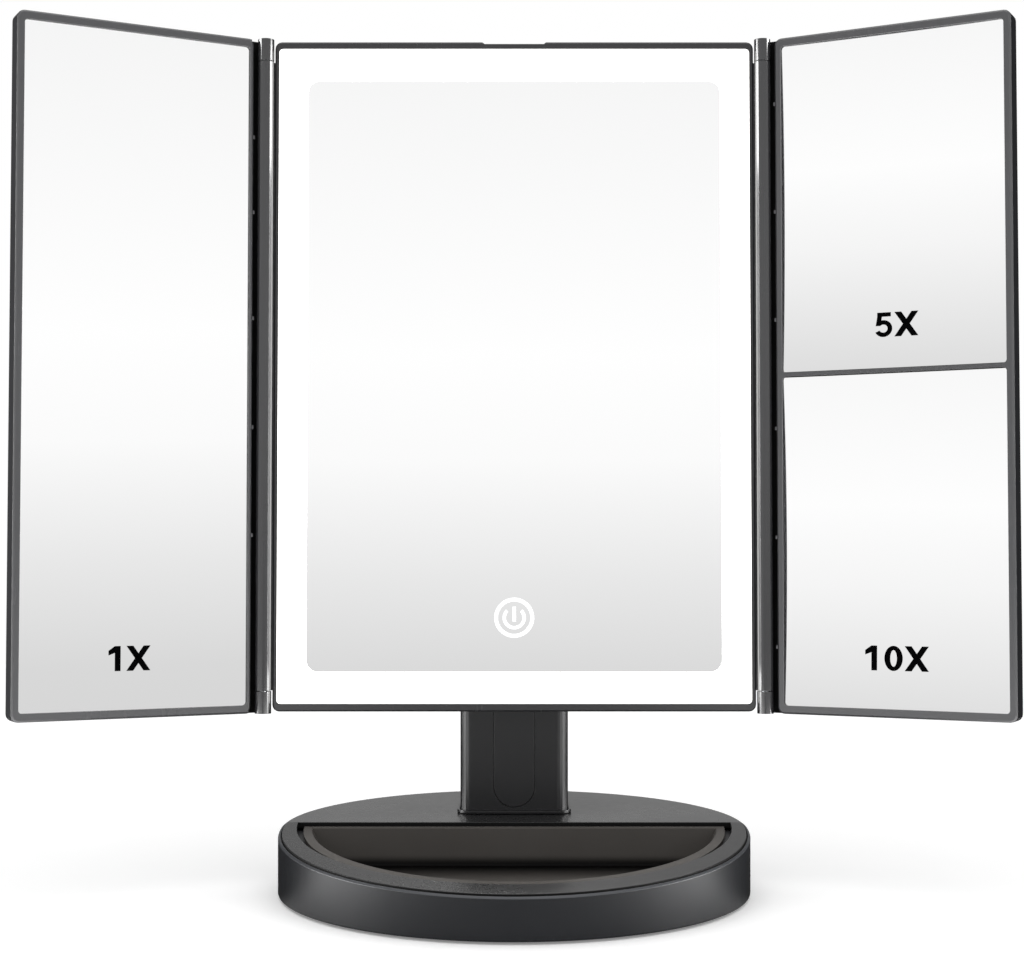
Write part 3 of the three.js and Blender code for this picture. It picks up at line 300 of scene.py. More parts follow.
def moulded_grain():
    """Fine pitted texture of a moulded part."""
    tree, takes, gives = new_group(
        "moulded grain", {"Grains per metre": 2200.0, "Unevenness": 0.35}, ["Height"])
    grains, unevenness = takes.outputs[:2]
    place = on_object(tree)
    pits = put(tree, "ShaderNodeTexVoronoi", feature="SMOOTH_F1")
    fill(pits, Vector=place, Scale=grains, Smoothness=0.6)
    broad = noise(tree, place, times(tree, grains, 0.12), 3.0)
    height = maths(tree, "ADD", pits.outputs["Distance"], times(tree, broad, unevenness))
    tree.links.new(height, gives.inputs[0])
    return tree


def uneven_gloss():
    """Roughness that drifts slowly over a surface and flickers a little where it has been wiped."""
    tree, takes, gives = new_group(
        "uneven gloss", {"Middle": 0.4, "Drift": 0.05, "Wiping": 0.02, "Patches per metre": 14.0},
        ["Roughness"])
    middle, drift, wiping, patches = takes.outputs[:4]
    place = on_object(tree)
    slow = noise(tree, place, patches, 2.0)
    wiped = noise(tree, stretched(tree, place, (1.0, 1.0, 0.16)), times(tree, patches, 22.0), 4.0)
    both = []
    for cloud, amount in ((slow, drift), (wiped, wiping)):
        both.append(times(tree, times(tree, maths(tree, "SUBTRACT", cloud, 0.5), amount), 2.0))
    tree.links.new(maths(tree, "ADD", middle, maths(tree, "ADD", *both), clamp=True), gives.inputs[0])
    return tree


def handled_edges():
    """Where edges have been rubbed by hands: strongest on the corners, broken up along them."""
    tree, takes, gives = new_group("handled edges", {"Width": 0.0006, "Amount": 1.0}, ["Mask"])
    width, amount = takes.outputs[:2]
    rounded = fill(put(tree, "ShaderNodeBevel", samples=4), Radius=width)
    likeness = put(tree, "ShaderNodeVectorMath", operation="DOT_PRODUCT")
    tree.links.new(rounded.outputs[0], likeness.inputs[0])
    tree.links.new(put(tree, "ShaderNodeNewGeometry").outputs["Normal"], likeness.inputs[1])
    edge = spread_out(tree, likeness.outputs["Value"], 0.995, 0.82)
    patches = spread_out(tree, noise(tree, on_object(tree), 160.0, 5.0), 0.35, 0.65, 0.35, 1.0)
    mask = maths(tree, "MULTIPLY", times(tree, edge, patches), amount, clamp=True)
    tree.links.new(mask, gives.inputs[0])
    return tree


def settled_dust():
    """Thin dust on faces that look up."""
    tree, takes, gives = new_group("settled dust", {"Amount": 0.2, "Specks per metre": 900.0}, ["Mask"])
    amount, specks = takes.outputs[:2]
    up = spread_out(tree, split(tree, put(tree, "ShaderNodeNewGeometry").outputs["Normal"])["Z"], 0.55, 1.0)
    place = on_object(tree)
    cover = times(
        tree, spread_out(tree, noise(tree, place, specks, 4.0), 0.45, 0.75), noise(tree, place, 22.0, 3.0))
    mask = maths(tree, "MULTIPLY", times(tree, cover, up), amount, clamp=True)
    tree.links.new(mask, gives.inputs[0])
    return tree


GRAIN = moulded_grain()
GLOSS = uneven_gloss()
EDGES = handled_edges()
DUST = settled_dust()


def use_group(tree, group, **values):
    """The first output of a group, with some of its inputs set."""
    return fill(put(tree, "ShaderNodeGroup", node_tree=group), **values).outputs[0]


# Finishes


def shade(red, green, blue):
    """A colour given as it looks on a screen, 0 to 255, as the shader's linear values."""
    def linear(value):
        value = value / 255
        return value / 12.92 if value <= 0.04045 else ((value + 0.055) / 1.055) ** 2.4
    return (linear(red), linear(green), linear(blue), 1.0)


def toned(colour, share, lift=0.0):
    """A colour made lighter or darker by a share of itself."""
    return tuple(channel * share + lift for channel in colour[:3]) + (1.0,)


GRAINS_PER_METRE = 1800.0
GRAIN_DEPTH = 0.00002
DUST_GREY = shade(150, 148, 144)
WHITE = shade(255, 255, 255)


def new_material(name):
    made = bpy.data.materials.new(name)
    made.use_nodes = True
    tree = made.node_tree
    tree.nodes.clear()
    surface = tree.nodes.new("ShaderNodeBsdfPrincipled")
    tree.links.new(surface.outputs[0], tree.nodes.new("ShaderNodeOutputMaterial").inputs["Surface"])
    return made, tree, surface


def grainy(tree, surface, strength, depth=GRAIN_DEPTH):
    bumped(tree, surface, use_group(tree, GRAIN, Grains_per_metre=GRAINS_PER_METRE), strength, depth)


def moulded_plastic(name, colour, rubbed, gloss, grain=0.05, level=0.35, dust=0.02, edge=0.5,
                    depth=GRAIN_DEPTH):
    """Satin or glossy moulded plastic with slow colour drift, handled edges and a little dust."""
    made, tree, surface = new_material(name)
    body = mixed(tree, noise(tree, on_object(tree), 9.0, 3.0), toned(colour, 0.86), toned(colour, 1.14))
    dusty = use_group(tree, DUST, Amount=dust)
    body = mixed(tree, use_group(tree, EDGES, Width=0.0005, Amount=edge), body, rubbed)
    body = mixed(tree, dusty, body, DUST_GREY)
    rough = use_group(tree, GLOSS, Middle=gloss, Drift=0.04, Wiping=0.03)
    rougher = maths(tree, "ADD", rough, times(tree, dusty, 0.5), clamp=True)
    fill(surface, Base_Color=body, Roughness=rougher, Specular_IOR_Level=level)
    grainy(tree, surface, grain, depth)
    return made


def tray_plastic_with_painted_shade():
    """The dish's black plastic with painted shade: near black in the corner under the back wall, lighter
    forwards and upwards.
    """
    made, tree, surface = new_material("tray black with painted shade")
    place = on_object(tree)
    parts = split(tree, place)
    forward = spread_out(tree, parts["Y"], 0.004, -0.036)
    upward = spread_out(tree, parts["Z"], 0.0104, 0.0148)
    plain = mixed(tree, noise(tree, place, 26.0, 4.0), shade(80, 77, 74), shade(90, 87, 84))
    # Painted shade: the mask darkens the floor and walls towards the crease under the back wall.
    body = mixed(tree, maths(tree, "MAXIMUM", forward, upward), shade(6, 5, 5), plain)
    body = mixed(tree, use_group(tree, EDGES, Width=0.0004, Amount=0.08), body, shade(96, 92, 88))
    body = mixed(tree, use_group(tree, DUST, Amount=0.02), body, DUST_GREY)
    rough = use_group(tree, GLOSS, Middle=0.36, Drift=0.05, Wiping=0.03)
    fill(surface, Base_Color=body, Roughness=rough, Specular_IOR_Level=0.04)
    grainy(tree, surface, 0.1)
    return made


def mirror_silver(name, top, middle, bottom, low, high):
    """Silvered glass with a painted reflection, its tone given for the top, middle and bottom along its
    height, and the faintest film of wiping.
    """
    made, tree, surface = new_material(name)
    place = on_object(tree)
    painted_reflection = tone_ramp(tree, split(tree, place)["Z"], low, high, (
        (0.0, bottom), (0.36, 0.3 * bottom + 0.7 * middle), (0.6, middle), (1.0, top)))
    film = times(tree, noise(tree, place, 18.0, 4.0), 0.02)
    rough = use_group(tree, GLOSS, Middle=0.0018, Drift=0.001, Wiping=0.0005)
    fill(surface, Base_Color=mixed(tree, film, painted_reflection, shade(226, 230, 230)), Metallic=1.0, Roughness=rough)
    return made


def lit_from_behind(name, colour, dimmer, strength, spots, detail, gloss):
    """White ink or opal plastic with lamps behind it, a touch dimmer between them."""
    made, tree, surface = new_material(name)
    glow = mixed(tree, noise(tree, on_object(tree), spots, detail), dimmer, WHITE)
    rough = use_group(tree, GLOSS, Middle=gloss, Drift=0.05)
    fill(surface, Base_Color=colour, Emission_Color=glow, Emission_Strength=strength, Roughness=rough)
    return made


def plain_metal(name, colour, gloss):
    """Plated or rolled metal with fine drawing lines."""
    made, tree, surface = new_material(name)
    lines = noise(tree, stretched(tree, on_object(tree), (1.0, 1.0, 0.04)), 2600.0, 3.0)
    body = mixed(tree, lines, toned(colour, 0.78), colour)
    body = mixed(tree, use_group(tree, EDGES, Width=0.0004, Amount=0.6), body, shade(225, 226, 228))
    rough = use_group(tree, GLOSS, Middle=gloss, Drift=0.06, Wiping=0.05, Patches_per_metre=60.0)
    fill(surface, Base_Color=body, Metallic=1.0, Roughness=rough)
    bumped(tree, surface, lines, 0.15, 0.00002)
    return made


def cast_iron():
    """Rough grey iron with faint brown stains."""
    made, tree, surface = new_material("cast iron")
    place = on_object(tree)
    sand = noise(tree, place, 700.0, 5.0)
    stain = spread_out(tree, noise(tree, place, 35.0, 4.0), 0.5, 0.72)
    body = mixed(tree, stain, shade(104, 106, 108), shade(112, 92, 78))
    fill(surface, Base_Color=body, Metallic=1.0, Roughness=spread_out(tree, sand, 0.2, 0.8, 0.5, 0.72))
    bumped(tree, surface, sand, 0.5, 0.0001)
    return made


def printed_ink(name, colour):
    """Screen-printed ink, slightly thin in places."""
    made, tree, surface = new_material(name)
    thin = spread_out(tree, noise(tree, on_object(tree), 420.0, 3.0), 0.4, 0.75)
    rough = use_group(tree, GLOSS, Middle=0.6, Drift=0.08, Wiping=0.05)
    fill(surface, Base_Color=mixed(tree, thin, colour, toned(colour, 1.15, 0.001)), Roughness=rough,
         Specular_IOR_Level=0.0)
    return made


def circuit_board():
    """Green board with paler tracks."""
    made, tree, surface = new_material("circuit board")
    upright = fill(put(tree, "ShaderNodeMapping"), Vector=on_object(tree), Rotation=(math.radians(90), 0, 0))
    tracks = put(tree, "ShaderNodeTexBrick", offset=0.35, squash=1.6)
    fill(tracks, Vector=upright.outputs[0], Scale=170.0, Color1=shade(24, 84, 48), Color2=shade(30, 96, 56),
         Mortar=shade(52, 128, 78), Mortar_Size=0.05)
    rough = use_group(tree, GLOSS, Middle=0.42, Drift=0.06)
    fill(surface, Base_Color=tracks.outputs["Color"], Roughness=rough)
    bumped(tree, surface, tracks.outputs["Fac"], 0.2, 0.00004)
    return made


def wrapped_cell():
    """Shrunk blue film with slight creases."""
    made, tree, surface = new_material("cell wrap")
    creases = noise(tree, on_object(tree), 240.0, 2.0)
    body = mixed(tree, creases, shade(48, 96, 140), shade(66, 118, 164))
    fill(surface, Base_Color=body, Roughness=use_group(tree, GLOSS, Middle=0.3, Drift=0.06))
    bumped(tree, surface, creases, 0.2, 0.0001)
    return made


WALL_BLACK = moulded_plastic("base wall black", shade(17, 19, 24), shade(78, 79, 82), 0.36, level=0.3)
COVER_BLACK = moulded_plastic(
    "base cover black", shade(38, 38, 39), shade(68, 68, 70), 0.28, grain=0.008, dust=0.03)
STEM_BLACK = moulded_plastic("stem black", shade(30, 30, 32), shade(66, 66, 68), 0.3)
STRIP_BLACK = moulded_plastic("stem strip black", shade(31, 31, 33), shade(60, 60, 62), 0.34, grain=0.04)
# Painted shade: near black for the hinge leaves seen through the gaps and for the cover's side faces,
# standing in for the shadow there.
PAINTED_SHADE_BLACK = moulded_plastic("painted shade black", shade(12, 12, 12), shade(20, 20, 20), 0.7, grain=0.1, level=0.1)
BACK_BLACK = moulded_plastic(
    "grained black plastic", shade(40, 40, 42), shade(78, 78, 80), 0.46, grain=0.3, level=0.4, dust=0.05)
TRAY_BLACK = tray_plastic_with_painted_shade()
# Painted highlight: a lighter grey for the base wall's chamfer.
RIM_PAINTED_HIGHLIGHT = moulded_plastic(
    "base rim painted highlight", shade(62, 64, 68), shade(90, 92, 96), 0.36, grain=0.04, level=0.4)
BARREL_BLACK = moulded_plastic(
    "barrel black", shade(42, 42, 44), shade(80, 80, 82), 0.12, grain=0.02, level=0.85, dust=0.01, edge=0.2)
# Painted shade on the wings' outer side faces: darker than the wing grey as they turn from the light, and the
# right wing's darker than the left's.
LEFT_SIDE_PAINTED_SHADE = moulded_plastic("left wing side painted shade", shade(68, 68, 70), shade(84, 84, 86), 0.4, level=0.0)
RIGHT_SIDE_PAINTED_SHADE = moulded_plastic("right wing side painted shade", shade(42, 42, 44), shade(60, 60, 62), 0.44, level=0.0)
FRAME_GREY = moulded_plastic("frame grey", shade(50, 50, 52), shade(84, 84, 86), 0.26, grain=0.04, level=0.4)
WING_GREY = moulded_plastic(
    "wing grey", shade(82, 82, 84), shade(118, 118, 120), 0.26, grain=0.04, level=0.4)
RUBBER = moulded_plastic(
    "rubber", shade(30, 30, 30), shade(62, 62, 62), 0.86, grain=0.5, level=0.5, dust=0.12, depth=0.00005)
WHITE_PLASTIC = moulded_plastic(
    "white plastic", shade(238, 238, 234), shade(250, 250, 248), 0.5, grain=0.12, level=0.5, dust=0.05)
STEEL = plain_metal("zinc plated steel", shade(178, 180, 182), 0.32)
COPPER = plain_metal("copper foil", shade(190, 118, 80), 0.36)
IRON = cast_iron()
OPAL = lit_from_behind("lit opal", shade(250, 250, 248), shade(255, 253, 248), 3.0, 55.0, 1.0, 0.45)
BOARD = circuit_board()
CELL_WRAP = wrapped_cell()
BLACK_INK = printed_ink("black ink", shade(6, 6, 7))
LIT_INK = lit_from_behind("lit white ink", shade(250, 250, 250), shade(246, 250, 255), 0.6, 300.0, 2.0, 0.5)
# The centre silvering is even; the magnifiers' silvering carries a painted reflection, darker towards the
# bottom and a little at the top.
CENTRE_SILVER = mirror_silver("centre silvering", 0.97, 0.97, 0.97, 0.0, 0.4)
FIVE_SILVER = mirror_silver("five times silvering", 0.93, 0.99, 0.73, 0.2248, 0.3684)
TEN_SILVER = mirror_silver("ten times silvering", 0.94, 0.99, 0.74, 0.0788, 0.2237)


# Meshes


def closed(name, work, material, body, stands_for, crease):
    """Makes a mesh in metres the object of a piece that rides on a body."""
    bmesh.ops.recalc_face_normals(work, faces=work.faces)
    mesh = bpy.data.meshes.new(name)
    work.to_mesh(mesh)
    work.free()
    mesh.materials.append(material)
    mesh.shade_smooth()
    mesh.set_sharp_from_angle(angle=math.radians(crease))
    piece = bpy.data.objects.new(name, mesh)
    bpy.context.scene.collection.objects.link(piece)
    weighted = piece.modifiers.new("even normals", "WEIGHTED_NORMAL")
    weighted.keep_sharp = True
    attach(piece, body)
    if stands_for:
        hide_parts(*stands_for)
    return piece


def finished(name, work, place, material, body, stands_for=(), crease=32.0):
    """Puts a piece that is drawn in millimetres in its place, and closes it."""
    bmesh.ops.transform(work, matrix=Matrix.Scale(MM, 4) @ place, verts=work.verts)
    return closed(name, work, material, body, stands_for, crease)


def softened(work, edges, width, segments=2):
    """Rounds edges of a mesh."""
    bmesh.ops.bevel(
        work, geom=edges, offset=width, offset_type="OFFSET", affect="EDGES", segments=segments,
        profile=0.5, material=-1, clamp_overlap=True)


def sharp_edges(work, angle=30.0):
    return [e for e in work.edges if len(e.link_faces) == 2 and e.calc_face_angle(0.0) > math.radians(angle)]


def made_verts(made):
    return [v for v in made["geom"] if isinstance(v, bmesh.types.BMVert)]


def thickened(work, step):
    """Gives a whole sheet its thickness along a step."""
    far_side = bmesh.ops.extrude_face_region(work, geom=work.faces[:], use_keep_orig=True)
    bmesh.ops.translate(work, vec=step, verts=made_verts(far_side))


def refined(node, name, material, body, arcs, reshape):
    """The solid's own shape with its flat faces made whole, its arcs finer and its edges rounded."""
    work = bmesh.new()
    work.from_mesh(nodes[node].data)
    bmesh.ops.remove_doubles(work, verts=work.verts, dist=2 * MERGE_REACH * MM)
    bmesh.ops.dissolve_limit(
        work, angle_limit=math.radians(FLAT_ANGLE), verts=work.verts, edges=work.edges)
    if reshape:
        reshape(work)
    softened(work, sharp_edges(work, SHARP_ANGLE), PIECE_EDGE * MM)
    if arcs:
        lowest, highest = ARC_ANGLES
        bends = [e for e in sharp_edges(work, lowest) if e.calc_face_angle(0.0) < math.radians(highest)
                 and e.calc_length() > ARC_LENGTH * MM]
        softened(work, bends, arcs * MM)
    return closed(name, work, material, body, (node,), SHARP_ANGLE)


def refinish(piece, place, *finishes):
    """Gives some faces another finish, by tests of a face's middle and direction in the piece's own frame."""
    back = place.inverted()
    turn = back.to_3x3()
    for material, test in finishes:
        piece.data.materials.append(material)
        for face in piece.data.polygons:
            if test(back @ (face.center / MM), turn @ face.normal):
                face.material_index = len(piece.data.materials) - 1


def on_chamfer(at, towards):
    return at.z > BASE_FRONT_HEIGHT / 2 and 0.3 < towards.z < 0.93


def on_edge(at, towards):
    return abs(towards.z) < 0.6


def on_knuckle(at, towards):
    return math.hypot(at.x, at.y) < BARREL_RADIUS + TEST_REACH


def in_leaf(at, towards):
    in_width = abs(at.x) < LEAF_OUTER + TEST_REACH
    return in_width and at.y > LEAF_FRONT - LEAF_DEPTH and not on_knuckle(at, towards)


def on_outer_side(at, towards):
    return abs(at.x) > POCKET_OUTER + OUTER_RIM and abs(towards.x) > 0.9


def on_divider(at, towards):
    inside = POCKET_INNER + 1 < at.x < POCKET_OUTER - 1
    return inside and DIVIDER_BOTTOM - CLEARANCE < at.z < DIVIDER_TOP + CLEARANCE


def on_barrel(at, towards):
    return math.hypot(abs(at.x) - HINGE_X, at.y + HINGE_FORWARD) < BARREL_RADIUS + TEST_REACH


def reshaped(work, place, step):
    """Shifts corners of a solid by what a function says of each, in the piece's own frame."""
    back = place.inverted()
    for v in work.verts:
        at = back @ (v.co / MM)
        shift = step(at)
        if shift:
            v.co = (place @ (at + Vector(shift))) * MM


def lower_divider(work):
    """Brings the two sides of the right wing's divider to their heights."""
    lowest, highest = SOLID_DIVIDER_REACH

    def step(at):
        inside = POCKET_INNER - POCKET_EDGE < at.x < POCKET_OUTER + POCKET_EDGE
        if not inside or not lowest < at.z < highest:
            return None
        return (0, 0, -DIVIDER_DROP if at.z > SOLID_DIVIDER_MIDDLE else DIVIDER_THINNING - DIVIDER_DROP)
    reshaped(work, RIGHT_WING, step)


def wider_opening(work):
    """Moves the left wing's inner rim edge towards the hinge."""
    near, far = LEFT_RIM

    def step(at):
        return (LEFT_RIM_SHIFT, 0, 0) if near < -at.x < far and at.y < LEFT_RIM_BACK else None
    reshaped(work, LEFT_WING, step)


# Base


def follow_top(work, above):
    """Drops all that is above a height to the top's slope, which falls evenly before the tray's back edge."""
    bmesh.ops.bisect_plane(
        work, geom=work.verts[:] + work.edges[:] + work.faces[:], dist=SAME_PLACE,
        plane_co=(0, TRAY_BACK_Y, 0), plane_no=(0, 1, 0))
    for v in work.verts:
        if v.co.y < TRAY_BACK_Y and v.co.z > above:
            v.co.z += TOP_SLOPE * (v.co.y - TRAY_BACK_Y)


def spun(work, outline, steps, closed_outline):
    """Turns an outline of radius and height about the upright axis."""
    corners = [work.verts.new((r, 0, z)) for r, z in outline]
    edges = [work.edges.new(pair) for pair in zip(corners, corners[1:])]
    if closed_outline:
        edges.append(work.edges.new((corners[-1], corners[0])))
    bmesh.ops.spin(
        work, geom=corners + edges, cent=(0, 0, 0), axis=(0, 0, 1), angle=2 * math.pi, steps=steps,
        use_merge=True, use_duplicate=False)


def base_wall():
    """The ring round the base, with its chamfer, its land and the rebate that the cover lies in."""
    inside = BASE_RADIUS - BASE_WALL
    land = BASE_RADIUS - RIM_LAND
    chamfer = BASE_RADIUS - RIM_CHAMFER
    rebate = BASE_HEIGHT - COVER_THICKNESS - CLEARANCE
    rim = BASE_HEIGHT - RIM_STEP
    shoulder = rim - RIM_CHAMFER
    work = bmesh.new()
    spun(work, [
        (inside, FOOT_LIFT), *((BASE_RADIUS - inset, FOOT_LIFT + rise) for inset, rise in WALL_FOOT),
        (BASE_RADIUS, shoulder - RIM_CORNER), (BASE_RADIUS - RIM_CORNER / 2, shoulder + RIM_CORNER / 2),
        (chamfer, rim - RIM_CORNER_DROP), (chamfer - RIM_CORNER, rim), (land + RIM_CORNER, rim),
        (land, rim - RIM_CORNER), (land, rebate), (inside, rebate)], BASE_STEPS, True)
    follow_top(work, BASE_HEIGHT / 2)
    made = finished(
        "base_wall", work, STANDING, WALL_BLACK, "base", ("base_wall_shell",), 40.0)
    # The chamfer faces take the painted highlight.
    refinish(made, STANDING, (RIM_PAINTED_HIGHLIGHT, on_chamfer))


def tray_loop(work, insets, z):
    """The tray's outline at a height: half an ellipse in front of a straight back edge."""
    side, back = insets
    half_width = TRAY_HALF_WIDTH - side
    reach = TRAY_REACH - side
    short = math.asin(back / reach)
    earlier = set(work.verts)
    start = work.verts.new((-math.cos(short), -math.sin(short), z))
    swept = bmesh.ops.spin(
        work, geom=[start], cent=(0, 0, z), axis=(0, 0, 1), angle=math.pi - 2 * short, steps=TRAY_STEPS,
        use_merge=False, use_duplicate=False)
    work.edges.new((swept["geom_last"][0], start))
    for v in work.verts:
        if v not in earlier:
            v.co.x *= half_width
            v.co.y = TRAY_BACK_Y + v.co.y * reach
    return [e for e in work.edges if e.verts[0] not in earlier]


def top_cover():
    """A thick disc with the tray's opening in it and its edges rounded over."""
    work = bmesh.new()
    radius = BASE_RADIUS - RIM_LAND - COVER_SEAM
    bmesh.ops.create_circle(work, cap_ends=False, segments=BASE_STEPS, radius=radius)
    bmesh.ops.translate(work, vec=(0, 0, BASE_HEIGHT), verts=work.verts)
    tray_loop(work, (0.0, 0.0), BASE_HEIGHT)
    bmesh.ops.triangle_fill(work, use_beauty=True, use_dissolve=False, edges=work.edges)
    thickened(work, (0, 0, -COVER_THICKNESS))
    rims = [e for e in sharp_edges(work, 60.0)
            if all(abs(v.co.z - BASE_HEIGHT) < SAME_PLACE for v in e.verts)]
    softened(work, rims, COVER_EDGE, 3)
    follow_top(work, -1.0)
    made = finished(
        "base_cover", work, STANDING, COVER_BLACK, "base", ("base_top_cover",), 40.0)
    # The cover's side faces take the painted shade.
    refinish(made, STANDING, (PAINTED_SHADE_BLACK, on_edge))


def tray_ledge():
    """The ledge under the cover that the dish's rim rests on."""
    work = bmesh.new()
    top = BASE_HEIGHT - TRAY_RIM_DROP - TRAY_WALL - CLEARANCE
    outer = tray_loop(work, LEDGE_OUTSIDE, top)
    inner = tray_loop(work, LEDGE_INSIDE, top)
    bmesh.ops.bridge_loops(work, edges=outer + inner)
    thickened(work, (0, 0, -LEDGE_THICKNESS))
    softened(work, sharp_edges(work, 60.0), LEDGE_EDGE, 1)
    follow_top(work, -1.0)
    finished("tray_ledge", work, STANDING, BACK_BLACK, "base", (), 40.0)


def tray():
    """The dish: a level floor, walls that lean outwards and are cut off by the sloping top, and a rim."""
    work = bmesh.new()
    rim = BASE_HEIGHT - TRAY_RIM_DROP
    floor = tray_loop(work, TRAY_FLOOR, TRAY_FLOOR_Z)
    top = tray_loop(work, TRAY_HOLLOW, BASE_HEIGHT)
    bmesh.ops.bridge_loops(work, edges=floor + top)
    bmesh.ops.contextual_create(work, geom=floor)
    creases = [e for e in work.edges if all(abs(v.co.z - TRAY_FLOOR_Z) < SAME_PLACE for v in e.verts)]
    softened(work, creases, TRAY_FILLET, 6)
    bmesh.ops.bisect_plane(
        work, geom=work.verts[:] + work.edges[:] + work.faces[:], dist=SAME_PLACE, clear_outer=True,
        plane_co=(0, TRAY_BACK_Y, rim), plane_no=Vector((0, -TOP_SLOPE, 1)).normalized())
    lip = [e for e in work.edges if len(e.link_faces) == 1]
    outer = tray_loop(work, TRAY_GAP, rim)
    for v in {v for e in outer for v in e.verts}:
        v.co.z += TOP_SLOPE * (v.co.y - TRAY_BACK_Y)
    bmesh.ops.bridge_loops(work, edges=lip + outer)
    softened(work, [e for e in lip if e.is_valid and len(e.link_faces) == 2], TRAY_LIP, 3)
    bmesh.ops.recalc_face_normals(work, faces=work.faces)
    if sum(f.normal.z * f.calc_area() for f in work.faces) < 0:
        bmesh.ops.reverse_faces(work, faces=work.faces)
    bmesh.ops.solidify(work, geom=work.faces[:], thickness=TRAY_WALL)
    finished("tray", work, STANDING, TRAY_BLACK, "base", ("tray_dish",), 40.0)


def stem_inlay():
    """A flat strip with round ends, sunk in the stem's front."""
    work = bmesh.new()
    radius = INLAY_WIDTH / 2
    bmesh.ops.create_circle(work, cap_ends=True, segments=64, radius=radius)
    bmesh.ops.rotate(work, cent=(0, 0, 0), matrix=turned(90, "X").to_3x3(), verts=work.verts)
    for v in work.verts:
        v.co.z += INLAY_TOP - radius if v.co.z > SAME_PLACE else INLAY_BOTTOM + radius
        v.co.y = INLAY_FRONT
    thickened(work, (0, INLAY_THICKNESS, 0))
    softened(work, sharp_edges(work), INLAY_EDGE, 3)
    finished("stem_strip", work, STANDING, STRIP_BLACK, "base", ("stem_inlay",))


# Glasses


def sunk(x, z, bottom, top, radius):
    """How deep a curved glass lies behind its rim at a place on the wing."""
    half_width = (POCKET_OUTER - POCKET_INNER) / 2
    half_height = (top - bottom) / 2
    across = x - (POCKET_OUTER + POCKET_INNER) / 2
    up = z - (top + bottom) / 2
    rise = math.sqrt(radius ** 2 - half_width ** 2 - half_height ** 2)
    return math.sqrt(radius ** 2 - across ** 2 - up ** 2) - rise


def flat_face(x, z):
    return WING_GLASS_FRONT


def five_times_face(x, z):
    return WING_GLASS_FRONT + sunk(x, z, FIVE_BOTTOM, POCKET_HALF_HEIGHT, FIVE_TIMES_RADIUS)


def ten_times_face(x, z):
    return WING_GLASS_FRONT + sunk(x, z, -POCKET_HALF_HEIGHT, TEN_TOP, TEN_TIMES_RADIUS)


def magnifying_glass(name, bottom, top, face, material, node):
    """A curved glass whose two faces are parts of spheres, deepest in the middle."""
    work = bmesh.new()
    bmesh.ops.create_grid(work, x_segments=32, y_segments=44, size=0.5)
    for v in work.verts:
        x = (POCKET_INNER + POCKET_OUTER) / 2 + v.co.x * (POCKET_OUTER - POCKET_INNER)
        z = (top + bottom) / 2 + v.co.y * (top - bottom)
        v.co = (x, face(x, z), z)
    thickened(work, (0, MAGNIFIER_THICKNESS, 0))
    finished(name, work, RIGHT_WING, material, "right_wing", (node,))


def ring(work, outer, inner, centre, start=0.0, sweep=360.0, steps=96):
    """A flat band of ink on the glass, all the way round or part of it, with angles in degrees."""
    half = (outer - inner) / 2
    middle = (outer + inner) / 2
    direction = Vector((math.cos(math.radians(start)), 0, math.sin(math.radians(start))))
    corners = [
        work.verts.new(Vector(centre) + direction * (middle + side * half) + Vector((0, -lift, 0)))
        for side, lift in ((-1, 0.0), (1, 0.0), (1, INK), (-1, INK))]
    face = work.faces.new(corners)
    geometry = corners + face.edges[:]
    whole = sweep == 360.0
    if whole:
        bmesh.ops.delete(work, geom=[face], context="FACES_ONLY")
    else:
        geometry.append(face)
    bmesh.ops.spin(
        work, geom=geometry, cent=centre, axis=(0, -1, 0), angle=math.radians(sweep), steps=steps,
        use_merge=whole, use_duplicate=False)


def block(work, size, middle):
    """A block of a size about a place."""
    corners = bmesh.ops.create_cube(work, size=1.0)["verts"]
    bmesh.ops.scale(work, vec=size, verts=corners)
    bmesh.ops.translate(work, vec=middle, verts=corners)


def touch_mark():
    """The power mark on the glass: a ring, and in it an open ring with an upright bar."""
    work = bmesh.new()
    front = GLASS_FRONT - INK_GAP
    centre = (0, front, TOUCH_Z)
    ring(work, *MARK_RING, centre)
    ring(work, *MARK_ARC, centre, MARK_ARC_START, MARK_ARC_SWEEP, 72)
    block(work, (MARK_BAR_WIDTH, INK, MARK_BAR_HEIGHT), (0, front - INK / 2, TOUCH_Z + MARK_BAR_RISE))
    finished("touch_mark", work, PANEL, LIT_INK, "panel")


# Printed figures. Each is drawn in units, 25 to its height, from its left edge and its foot.


def sheared_bar(work, left, right, foot, head, slant=0.0, left_drop=(0.0, 0.0)):
    """An upright bar with level ends that may lean, or whose left end may be lower at its foot and head."""
    made = bmesh.ops.create_grid(work, x_segments=2, y_segments=8, size=0.5)["verts"]
    for v in made:
        across, up = v.co.x + 0.5, v.co.y + 0.5
        drop = left_drop[0] + (left_drop[1] - left_drop[0]) * up
        height = foot + (head - foot) * up - drop * (1 - across)
        v.co = (left + (right - left) * across + slant * up, 0.0, height)


def swept_band(work, x, z, outer, inner, start, sweep):
    """Part of a flat ring, given in degrees from the right-hand side, anticlockwise."""
    angle = math.radians(start)
    first = [
        work.verts.new((x + r * math.cos(angle), 0.0, z + r * math.sin(angle))) for r in (inner, outer)]
    edge = work.edges.new(first)
    bmesh.ops.spin(
        work, geom=first + [edge], cent=(x, 0, z), axis=(0, -1, 0), angle=math.radians(sweep), steps=40,
        use_merge=False, use_duplicate=False)


def figure_one(work, left):
    sheared_bar(work, left + 6.4, left + 11.9, 0, FIGURE_TOP)
    sheared_bar(work, left + 0.4, left + 6.4, 18.2, FIGURE_TOP, 0.0, (2.4, 4.6))


def figure_five(work, left):
    sheared_bar(work, left + 2.0, left + 15.2, 20.7, FIGURE_TOP)
    sheared_bar(work, left + 0.6, left + 5.2, 11.4, 20.7, 1.4)
    swept_band(work, left + 8.0, 8.6, 8.6, 4.1, 206, 284)


